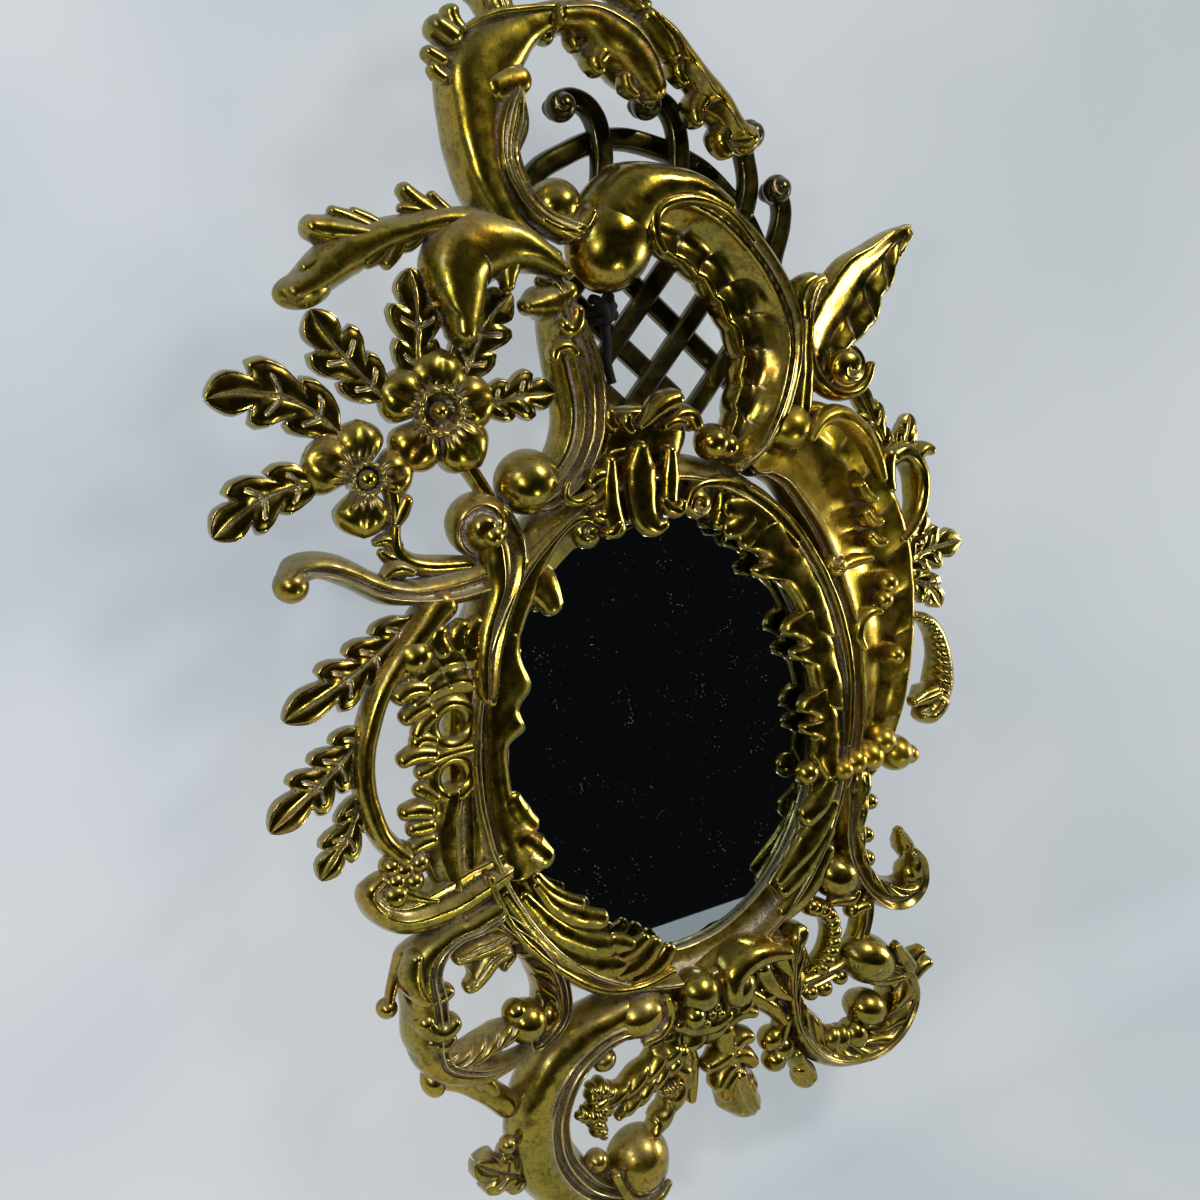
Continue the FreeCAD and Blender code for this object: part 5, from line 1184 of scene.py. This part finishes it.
piece("wreath_left_band", [
    scroll(
        [(-116, -46), (-130, -49), (-145, -52), (-158, -56), (-167, -63), (-169.5, -73),
         (-168, -85), (-170, -97), (-168, -107), (-161, -115), (-151, -120.5), (-140, -123.5),
         (-126, -123), (-110, -119)],
        [(-116, -58), (-124, -60), (-134, -60), (-143, -64), (-147, -73), (-145, -80), (-146, -88),
         (-146, -95), (-148, -102), (-148, -108), (-142, -112), (-133, -115), (-122, -116),
         (-108, -113)],
        relief(0.95, 2.6, ridges=[(0.25, 0.06, 0.10), (0.62, 0.06, 0.10)],
               coves=[(0.0, 0.24, 0.12), (0.28, 0.60, 0.14)]), frills=[(-1, 5, 1.4, 0.1, 0.9)],
        rows=230, columns=80),
    stem([(-162, -88), (-158, -93), (-152, -94), (-147, -92.5)], [14, 16, 15, 10], ROUND, (20, 41),
         60, 40),
    stem([(-160, -97), (-155, -100), (-150, -98.5)], [12, 13, 9], ROUND, (20, 40), 60, 40),
    stem([(-156, -80), (-151, -80), (-147, -79)], [12, 12, 8], ROUND, (20, 38), 50, 36),
    stem([(-162, -60), (-164, -70), (-160, -79)], [10, 16, 10], ROUND, (20, 40), 70, 40),
    stem([(-154, -108), (-145, -110.5), (-134, -110), (-122, -107.5), (-112, -105)],
         [9, 13, 14, 14, 10], relief(0.98, 2.1, ruffles=[(5, -1.0, 1.0, 0.24, 0.8)]),
         (BACK, 38), 130, 44),
], gilt)
piece("wreath_right_band", [
    scroll(
        [(-112, -50), (-103, -58), (-94, -66), (-86, -77), (-80, -88), (-78, -98), (-80, -108),
         (-87, -115), (-97, -119)],
        [(-124, -60), (-116, -69), (-107, -75), (-102, -81), (-99, -88), (-97, -95), (-98, -101),
         (-101, -105), (-105, -108)],
        relief(0.70, 2.6, ridges=[(-0.78, 0.08, 0.26), (-0.45, 0.08, 0.24), (-0.10, 0.08, 0.2)],
               coves=[(0.0, 0.95, 0.2)], ruffles=[(6, 0.0, 1.0, 0.30, 0.6)]), rows=170,
        columns=80),
    volute((-106, -105.5), 12, (BACK, 42)),
    volute((-112, -99), 7, (BACK, 38)),
    volute((-95, -108), 7, (BACK, 37), stretch=1.3, lean=70),
], gilt_clean)
piece("wreath_leaves", [
    stem([(-112, -64), (-122, -66), (-132, -66), (-139, -67)], [12, 16, 15, 5], CREASED, (14, 37),
         70, 44),
    stem([(-114, -70), (-124, -73), (-131, -79), (-136, -80)], [12, 15, 14, 7], CREASED, (14, 38),
         70, 44),
    stem([(-110, -74), (-114, -77), (-115, -78)], [8, 8, 5], ROUND, (14, 34), 40, 32),
    stem([(-166, -62), (-172, -70), (-176, -78)], [8, 6, 5], None, (18, 30), 70, 32),
    volute((-177.5, -81), 5.5, (18, 31)),
], gilt)
piece("wreath_strut", [
    stem([(-158, -117), (-146, -123), (-132, -132), (-120, -143)], [15, 13, 15, 15], None,
         (18, 30), 80, 36),
    stem([(-140, -122), (-133, -126), (-128, -132)], [10, 14, 8], ROUND, (18, 33), 60, 36),
    volute((-159, -120), 6.5, (18, 32), stretch=1.3, lean=-70),
], gilt)
FOOT_LOBES = [
    ([(-16, -132), (-6, -136), (4, -138), (16, -136)], [12, 16, 16, 10], 37),
    ([(-22, -138), (-16, -144), (-10, -150), (-9, -160), (-11, -172)], [16, 16, 14, 10, 6], 33),
    ([(14, -140), (24, -138), (34, -140)], [12, 14, 8], 36),
    ([(42, -120), (46, -128), (52, -134), (58, -138)], [14, 14, 12, 6], 38),
    ([(32, -130), (40, -136), (48, -142), (54, -150)], [14, 14, 12, 7], 36),
    ([(52, -112), (56, -120), (60, -126)], [12, 14, 8], 38),
]
piece("foot_cartouche", [
    scroll(
        [(-28, -130), (-10, -115), (10, -106), (30, -102), (50, -104), (64, -108)],
        [(-26, -146), (-10, -150), (8, -150), (24, -145), (42, -142), (60, -144)],
        relief(0.78, 2.6, coves=[(-0.6, 0.6, 0.25)], ruffles=[(5, 0.0, 1.0, 0.25, 0.5)]), rows=170,
        columns=80),
    volute((-2, -119), 13, (14, 46), stretch=1.1, lean=-20),
    volute((-9, -128), 7.5, (14, 45)),
    stem([(16, -124), (20, -114), (30, -110), (42, -110), (54, -112)], [14, 20, 21, 18, 10], ROUND,
         (14, 47), 110, 52),
    volute((24, -124), 10, (14, 45), stretch=1.2, lean=60),
    *bosses([(2, -130, 3.5), (6, -127, 3), (-2, -133, 3), (8, -131, 3)], (20, 42)),
] + [
    stem(line, widths, ROUND, (14, front), 70, 40)
    for line, widths, front in FOOT_LOBES
], gilt_clean)
piece("foot_pendant", [
    stem([(14, -144), (15, -154), (17, -166)], [16, 18, 16], ROUND, (20, 36), 70, 40),
    stem([(19, -168), (20, -174), (22.5, -181), (25, -185)], [16, 27, 29, 22],
         relief(0.90, 2.0, ridges=[(-0.35, 0.10, 0.10), (0.2, 0.10, 0.10)]), (18, 39), 110, 64),
    *[stem(line, [12, 13, 10], ROUND, (20, 37), 50, 32) for line in [
        [(14, -156), (7, -157.5), (1, -158)],
        [(15, -162), (9, -166), (6, -169)],
        [(20, -152), (25, -150.5), (29, -151)],
        [(20, -158), (26, -160), (30, -164)],
        [(18, -166), (12, -171), (11, -176)],
    ]],
], gilt_clean)
FOOT_TWIGS = [
    ([(-20, -144), (-34, -148), (-50, -153), (-62, -155), (-72, -155)], [16, 12, 11, 10, 10]),
    ([(-20, -150), (-34, -155), (-46, -160), (-60, -164)], [12, 9, 9, 5]),
    ([(-60, -155), (-66, -150), (-70, -148.5), (-74, -151)], [8, 9, 9, 8]),
    ([(-64, -157), (-72, -160), (-78, -158), (-84, -156)], [9, 10, 8, 4]),
    ([(-68, -158), (-72, -165), (-70, -170)], [9, 9, 6]),
    ([(-16, -146), (-15, -158), (-20, -166), (-28, -172), (-38, -180)], [18, 14, 11, 11, 10]),
    ([(-20, -160), (-26, -162), (-30, -160)], [8, 8, 5]),
]
piece("foot_twigs", [
    stem(line, widths, relief(1.0, 2.0, ruffles=[(4, -1.0, 1.0, 0.22, 0.4)]), rows=80, columns=36,
         frills=[(1, 3, 2.0, 0.1, 0.9), (-1, 4, 1.6, 0.1, 0.9)])
    for line, widths in FOOT_TWIGS
], gilt_clean)

# Lower right
piece("right_foot_scroll", [
    scroll(
        [(60, -110), (57, -130), (57, -146), (60, -160), (67, -172), (77, -181), (90, -187),
         (107, -190), (125, -189.5), (140, -184), (150, -176), (157, -166), (157.5, -155),
         (153, -146), (144, -140), (134, -137)],
        [(76, -110), (69, -126), (69, -140), (75, -150), (83, -159), (91, -167), (99, -172),
         (107, -175), (117, -175), (126, -173), (132, -169), (135, -163), (135, -158), (131, -154),
         (126, -151), (122, -147)],
        relief(0.93, 2.6, ridges=[(-0.45, 0.05, 0.10)], coves=[(-0.40, 0.98, 0.22)],
               ruffles=[(11, -0.2, 1.0, 0.26, 0.5)]), frills=[(1, 11, 1.6, 0.35, 0.85)], rows=260,
        columns=80),
    volute((120, -136.5), 15, (18, 45), stretch=1.45, lean=-38),
    stem([(106, -134), (114, -142), (126, -148), (140, -149)], [5, 8, 9, 5], ROUND,
         SCROLL, 80, 36),
    stem([(146, -145), (141, -138), (136, -131)], [12, 11, 5], CREASED, (24, BERRY_FRONT), 60, 36),
    stem([(152, -150), (157, -145), (162, -143)], [8, 10, 7], ROUND, (18, 34), 50, 32),
    stem([(154, -154), (160, -151), (165, -150)], [10, 12, 9], ROUND, (18, 36), 50, 32),
    volute((117, -162), 11.5, (BACK, 42), stretch=1.2, lean=-30),
    volute((106, -173), 8.5, (BACK, 39), stretch=1.2, lean=-80),
    volute((95, -172), 7, (BACK, 38), stretch=1.3, lean=70),
    volute((86, -168), 6, SCROLL, stretch=1.3, lean=60),
], gilt_clean)
piece("right_foot_pendants", [
    volute((54.5, -165.5), 9, ARM), volute((47, -158.5), 7, ARM, stretch=1.2, lean=30),
    volute((48, -170), 7.5, ARM), volute((64, -179), 5, ARM),
    volute((71, -186), 8, (14, 33), stretch=1.1, lean=90),
    stem([(62, -170), (66, -178), (71, -185)], [10, 12, 10], ROUND, ARM, 50, 32),
    stem([(56, -150), (53, -156), (50, -160)], [10, 10, 8], ROUND, ARM, 50, 32),
], gilt_clean)
piece("right_hook_scroll", [
    scroll(
        [(108, -44), (106, -60), (105, -76), (110, -90), (119, -102), (129, -111), (141, -117),
         (154, -117.5), (164, -112), (168, -102), (166, -93), (160, -87)],
        [(130, -44), (125, -58), (121, -70), (122, -84), (130, -94), (138, -100), (145, -103),
         (150, -103), (152, -100), (153, -96), (153, -92), (152, -89)],
        relief(0.92, 2.6, ridges=[(-0.70, 0.05, 0.10)], coves=[(-0.62, 0.10, 0.24)],
               ruffles=[(8, 0.1, 1.0, 0.22, 0.5)]), frills=[(1, 8, 1.4, 0.0, 0.95)], rows=210,
        columns=72),
    stem([(159, -92), (156, -86), (152, -80), (150, -76.5)], [10, 12, 10, 6], CREASED, (18, 34),
         60, 36),
    volute((156.5, -100), 8, (BACK, 38), stretch=1.2, lean=70),
    *bosses([(129, -57, 5), (124.5, -73, 5), (124, -85, 5.5)], (BACK, 36)),
], gilt_clean)
piece("right_boss", [
    volute((102, -89), 14, stretch=1.15, lean=-40),
    stem([(93, -99), (100, -100), (108, -101), (112, -98)], [6, 9, 9, 5], ROUND, (14, 38), 60, 36),
], gilt_clean)
piece("right_twigs", [
    stem([(82, -100), (91, -104), (95.5, -112), (95, -120), (90, -128), (82, -133)],
         [12, 11, 12, 12], relief(0.9, 2.2, ruffles=[(9, -1.0, 1.0, 0.2, 0.0)]), rows=130,
         columns=40),
    stem([(122, -106), (120, -116), (113, -127), (102, -134), (88, -136), (72, -137)],
         [13, 12, 12, 13], relief(0.9, 2.2, coves=[(-0.6, 0.3, 0.3)]), rows=130, columns=44),
    stem([(120, -108), (113, -108), (109, -109)], [9, 9, 8], ROUND, rows=40, columns=32),
    *bosses([(111, -108, 5), (118, -133, 5.5), (110, -138.5, 5), (98, -140, 5), (86, -142.5, 5.5),
             (76, -142, 5)]),
], gilt_clean)

# Right side
piece("cove_scroll", [
    scroll(
        [(86, 128), (105, 136), (125, 131), (140, 120), (152, 106), (162, 90), (170, 72),
         (173, 50), (172, 30), (168, 10), (160, -12), (148, -30), (135, -42), (120, -48)],
        [(70, 106), (80, 100), (88, 90), (96, 80), (103, 68), (109, 55), (114, 42), (118, 30),
         (120, 18), (120, 6), (120, -8), (118, -20), (114, -32), (108, -42)],
        relief(0.94, 4.5, ridges=[(-0.96, 0.025, 0.10), (0.80, 0.035, 0.10), (0.93, 0.02, 0.08)],
               coves=[(-0.93, 0.78, 0.62), (0.84, 0.91, 0.10)],
               ruffles=[(11, -0.92, -0.35, 0.09, -0.25)]), rows=270, columns=120),
    volute((91, 125.5), 13, stretch=1.1, lean=10),
    stem([(98, 120), (106, 126), (118, 128.5), (132, 122), (142, 109), (146, 97)],
         [5, 10, 13, 13, 10, 6], ROUND, (20, 43), 110, 48),
    stem([(134, 95), (138, 90), (142, 88)], [8, 10, 7], ROUND, (18, 39), 50, 32),
    stem([(136, 82), (140, 78), (145, 77)], [8, 10, 7], ROUND, (18, 39), 50, 32),
    stem([(138, 71), (142, 68), (147, 67)], [8, 10, 7], ROUND, (18, 39), 50, 32),
    volute((113, 61), 8, (26, 41), turns=1.1, groove=0.25),
    stem([(117, 59.5), (124, 60.5), (131, 61), (137, 61)], [6, 9, 8, 5], ROUND, (26, 38), 90, 44),
    stem([(140, 35.5), (134, 36), (127, 32.5), (124.5, 26), (127, 20)], [5, 8, 9, 9, 6], ROUND,
         (24, 40), 110, 40),
    *bosses([(150, 47, 7), (146, 40, 6), (152, 12, 6)], SCROLL),
    *bosses([(151, -37, 11), (118, -34, 8.5), (130, -34, 10), (140, -28, 9), (108, -36, 7)],
            (BACK, 41)),
    volute((162, -40), 6, ARM),
], gilt_painted_sheen)
piece("right_wing_leaf", [
    scroll(
        [(104, 146), (103, 162), (110, 175), (122, 187), (138, 197), (153, 201), (167, 205.5),
         (180, 208)],
        [(124, 144), (134, 154), (144, 160), (156, 166), (162, 176), (169, 183), (174, 192),
         (182, 201)],
        relief(0.94, 3.0, coves=[(-0.84, 0.96, 0.60)], ruffles=[(5, 0.15, 1.0, 0.16, 0.9)]),
        (18, 36), frills=[(1, 5, 2.4, 0.15, 0.97)], rows=190, columns=88),
    stem([(105, 170), (103, 180), (108, 186), (114, 188)], [6, 10, 11, 8], ROUND, (20, 34), 70,
         36),
    volute((133, 148.5), 14, (18, 38), turns=1.3, hand=-1, start=0.2, groove=0.28),
    stem([(106, 162), (108, 150), (117, 140), (130, 136.5), (143, 140), (148, 148)],
         [5, 8, 9, 8, 7, 5], ROUND, (18, 36), 100, 32),
], gilt_clean)
piece("right_wing_stem", [
    stem([(100, 132), (103, 145), (105, 160), (107, 174)], [12, 10, 9], rows=80, columns=36),
    stem([(106, 172), (109, 180), (113, 185), (118, 187)], [10, 14, 13, 8], CREASED, rows=60,
         columns=36),
], gilt)
piece("right_upper_sprig", [
    stem([(164, 66), (175, 74), (182, 86), (181, 98), (172, 106), (162, 105)],
         [7, 9, 11, 12, 14, 14], ROUND, rows=110, columns=40),
    leaf([(164, 100), (157, 113), (149, 127), (142, 141)], 21, 3),
    leaf([(166, 100), (172, 108), (176, 115), (179, 123)], 19, 2),
    stem([(158, 106), (156, 98), (157, 91)], [14, 15, 10], ROUND, rows=60, columns=40),
    stem([(180, 104), (185, 106), (189, 105)], [10, 10, 7], ROUND, rows=50, columns=32),
], gilt_clean)
piece("right_middle_sprig", [
    leaf([(160, 48), (178, 55), (196, 58), (214, 58)], 30, 4),
    leaf([(162, 50), (172, 60), (180, 68), (185, 78)], 24, 3),
    leaf([(164, 44), (178, 43), (188, 37), (195, 28)], 22, 3),
], gilt_leaf)
piece("right_lower_sprig", [
    stem([(170, 28), (180, 24), (189, 14), (193, 0), (192, -12), (184, -20)],
         [6, 10, 12, 14, 17, 15], relief(0.85, 2.2, ruffles=[(12, -0.2, 1.0, 0.25, 0.3)]),
         columns=48),
    stem([(188, -18), (180, -22), (172, -21)], [16, 18, 9], CREASED, rows=60, columns=40),
    stem([(184, -12), (176, -13), (166, -14)], [12, 13, 7], CREASED, rows=60, columns=40),
], gilt_clean)

# Cartouche over the oval and the thin volutes of its edge
HEAD_LOBES = [
    # drawn line, widths, back and front depth in mm
    ([(-9, 127), (-10, 117), (-11, 107), (-10, 98.5), (-5.5, 94), (0, 94.5)],
     [10, 19, 19, 16, 14, 8], 34, 43.5),
    ([(-27.5, 124), (-28.5, 114), (-28.5, 104), (-27, 96)], [8, 12, 13, 13], 32, 42.5),
    ([(9, 124), (8, 114), (6, 104)], [8, 12, 11], 32, 41.5),
    ([(-10, 136), (-5, 138.5), (2, 142), (9, 144.5), (13.5, 145)], [4, 7, 11, 13, 12], 26, 46),
    ([(-14, 135), (-16, 138), (-15.5, 140.5)], [7, 8, 7], 26, 43),
    ([(-22, 137), (-24, 140.5), (-23.5, 143)], [8, 9, 7], 24, 40),
    ([(10, 135.5), (17, 138.5), (23, 137.5), (26, 133)], [6, 9, 10, 8], 26, 43),
    ([(6, 134.5), (12, 136), (17, 135)], [5, 7, 5], 30, 44),
    ([(-32, 119), (-35.5, 118.5), (-39, 116.5)], [10, 12, 9], 26, 42),
    ([(-32, 111), (-36, 109), (-40, 108)], [10, 11, 8], 26, 41),
    ([(-30, 103), (-34, 102), (-37, 103)], [10, 10, 8], 26, 41),
    ([(-27, 98), (-30, 95.5), (-33, 95)], [10, 10, 7], 26, 43),
    ([(2, 104), (6, 100), (11, 99), (13, 102)], [8, 10, 9, 6], 28, 42),
]
piece("head_cartouche", [
    scroll(
        [(-24, 143), (-30, 133), (-35, 122), (-36, 110), (-34, 100)],
        [(24, 139), (27, 130), (20, 118), (14, 108), (8, 100)],
        relief(0.78, 2.6, coves=[(-0.75, -0.22, 0.42), (0.10, 0.62, 0.42)], after=0.42), (14, 41),
        ends=(0.15, 0.3), rows=140, columns=96),
] + [
    stem(line, widths, ROUND, (back, front), 80, 40)
    for line, widths, back, front in HEAD_LOBES
], gilt_clean)
piece("left_inner_volute", [
    stem([(-88, 62), (-78, 80), (-66, 92), (-53, 100), (-42, 102), (-34.5, 98.5)],
         [12, 17, 16, 11, 7, 5], relief(0.95, 2.2), (25, 36), 130, 52),
    volute((-40.5, 95.5), 8.5, (25, 37), turns=1.2, groove=0.28),
    stem([(-78, 86), (-70, 79), (-64, 69)], [16, 22, 14], ROUND, (25, 35), 70, 48),
], gilt)
piece("right_inner_volute", [
    stem([(19, 100), (25, 106.5), (38, 107.5), (54, 103), (70, 93), (88, 76)],
         [5, 7, 11, 14, 14, 10], relief(0.95, 2.2), (25, 37), 130, 52),
    volute((26.5, 100), 9, (25, 38), turns=1.2, hand=-1, groove=0.28),
    stem([(46, 100), (44, 93), (40, 89)], [14, 15, 10], ROUND, (25, 34), 60, 40),
], gilt_clean)

# Pale wall and floor, joined by a cove; seen from behind they are clear
FLOOR_HEIGHT = -300 * MM
WALL_PLACE = 32 * MM
COVE_RADIUS = 60 * MM
FLOOR_REACH = 370 * MM
CARD_TOP = 1800 * MM
CARD_HALF_WIDTH = 2200 * MM
CARD_GLOW = 0.66


def backdrop_material():
    """Pale matt card, bluish grey, with broad painted shade: soft blotches, and darker towards the
    right.

    Most of its paleness is its own glow to the eye and in reflections, so it takes little light.
    """
    made, tree = new_material("pale_card")
    where = add(tree, "ShaderNodeTexCoord").outputs["Object"]
    # painted shade: broad soft blotches in the card's colour
    shade = between(tree, noise(tree, where, 320, 2.0), 0.35, 0.65)
    tint = mix(tree, shade, "#cbd5dd", "#ebeff2")
    # painted shade: the card's colour darkens towards the right
    across = add(tree, "ShaderNodeSeparateXYZ", {0: where}).outputs["X"]
    tint = mix(tree, between(tree, across, -0.3, 0.7), tint, "#a4abae")
    card = add(tree, "ShaderNodeBsdfPrincipled", {
        "Base Color": linear("#757a7f"), "Roughness": 0.9})
    path = add(tree, "ShaderNodeLightPath")
    seen = maths(tree, "MAXIMUM", path.outputs["Is Camera Ray"], path.outputs["Is Glossy Ray"])
    seen = maths(tree, "MAXIMUM", seen, path.outputs["Is Transmission Ray"])
    glow = add(tree, "ShaderNodeEmission", {
        "Color": tint, "Strength": maths(tree, "MULTIPLY", seen, CARD_GLOW)})
    pale = add(tree, "ShaderNodeAddShader", {0: card.outputs["BSDF"], 1: glow.outputs[0]})
    clear = add(tree, "ShaderNodeBsdfTransparent")
    rear = add(tree, "ShaderNodeNewGeometry").outputs["Backfacing"]
    mixed = add(tree, "ShaderNodeMixShader", {
        0: rear, 1: pale.outputs[0], 2: clear.outputs["BSDF"]})
    add(tree, "ShaderNodeOutputMaterial", {"Surface": mixed.outputs["Shader"]})
    return made


turn = np.linspace(0, np.pi / 2, 24)
cove_line = np.vstack([
    [(-FLOOR_REACH, FLOOR_HEIGHT)],
    np.column_stack([
        WALL_PLACE - COVE_RADIUS + COVE_RADIUS * np.sin(turn),
        FLOOR_HEIGHT + COVE_RADIUS - COVE_RADIUS * np.cos(turn)]),
    [(WALL_PLACE, CARD_TOP)]])
sides = np.array([-CARD_HALF_WIDTH, CARD_HALF_WIDTH])
card_points = np.stack([
    np.broadcast_to(sides[None, :], (len(cove_line), 2)),
    np.broadcast_to(cove_line[:, :1], (len(cove_line), 2)),
    np.broadcast_to(cove_line[:, 1:], (len(cove_line), 2))], axis=-1).reshape(-1, 3)
card_rows = np.arange(len(cove_line) - 1) * 2
card_faces = np.column_stack([card_rows, card_rows + 1, card_rows + 3, card_rows + 2])
card_mesh = bpy.data.meshes.new("backdrop")
card_mesh.from_pydata(card_points.tolist(), [], card_faces.tolist())
card_mesh.shade_smooth()
card_mesh.materials.append(backdrop_material())
card = new_object("backdrop", card_mesh)

# World: pale where it is seen directly; else a dark room in front, less dark overhead and behind
world = bpy.data.worlds.new("studio")
bpy.context.scene.world = world
world.use_nodes = True
sky = world.node_tree
sky.nodes.clear()
direction = add(sky, "ShaderNodeTexCoord").outputs["Generated"]
parts = add(sky, "ShaderNodeSeparateXYZ", {0: direction}).outputs
behind = between(sky, parts["Y"], -0.55, 0.30, 0.0, 0.45)
above = between(sky, parts["Z"], 0.35, 0.95, 0.008, 0.28)
room = maths(sky, "ADD", behind, above)
seen = add(sky, "ShaderNodeLightPath").outputs["Is Camera Ray"]
pale = add(sky, "ShaderNodeBackground", {"Color": linear("#dde2e6"), "Strength": 1.0})
dim = add(sky, "ShaderNodeBackground", {"Color": linear("#e8edf2"), "Strength": room})
both = add(sky, "ShaderNodeMixShader", {0: seen, 1: dim.outputs[0], 2: pale.outputs[0]})
add(sky, "ShaderNodeOutputWorld", {"Surface": both.outputs[0]})


def lamp(name, place, aim, size, power, tint="#ffffff"):
    """A square area lamp that faces a point and isn't seen itself."""
    data = bpy.data.lights.new(name, "AREA")
    data.size = size
    data.energy = power
    data.color = linear(tint)[:3]
    made = new_object(name, data)
    back = unit(np.subtract(place, aim))
    side = unit(np.cross((0.0, 0.0, 1.0), back))
    stand(made, [side, np.cross(back, side), back], place)
    made.visible_camera = False


lamp("key", (0.75, -0.95, 1.05), (0.0, 0.0, 0.0), 0.32, 13.0, "#fffaf2")
lamp("low", (0.2, -0.85, -0.62), (0.0, 0.0, 0.0), 0.09, 1.3)
lamp("right", (0.95, -0.30, -0.05), (0.0, 0.0, 0.0), 0.26, 4.0)
lamp("camera_side", (-0.75, -0.75, 0.30), (0.0, 0.0, 0.05), 0.08, 2.0)
lamp("side", (-1.2, -0.8, 0.9), (0.0, 0.0, 0.1), 0.40, 4.6, "#f2f6ff")

bpy.context.scene.view_settings.view_transform = "Standard"
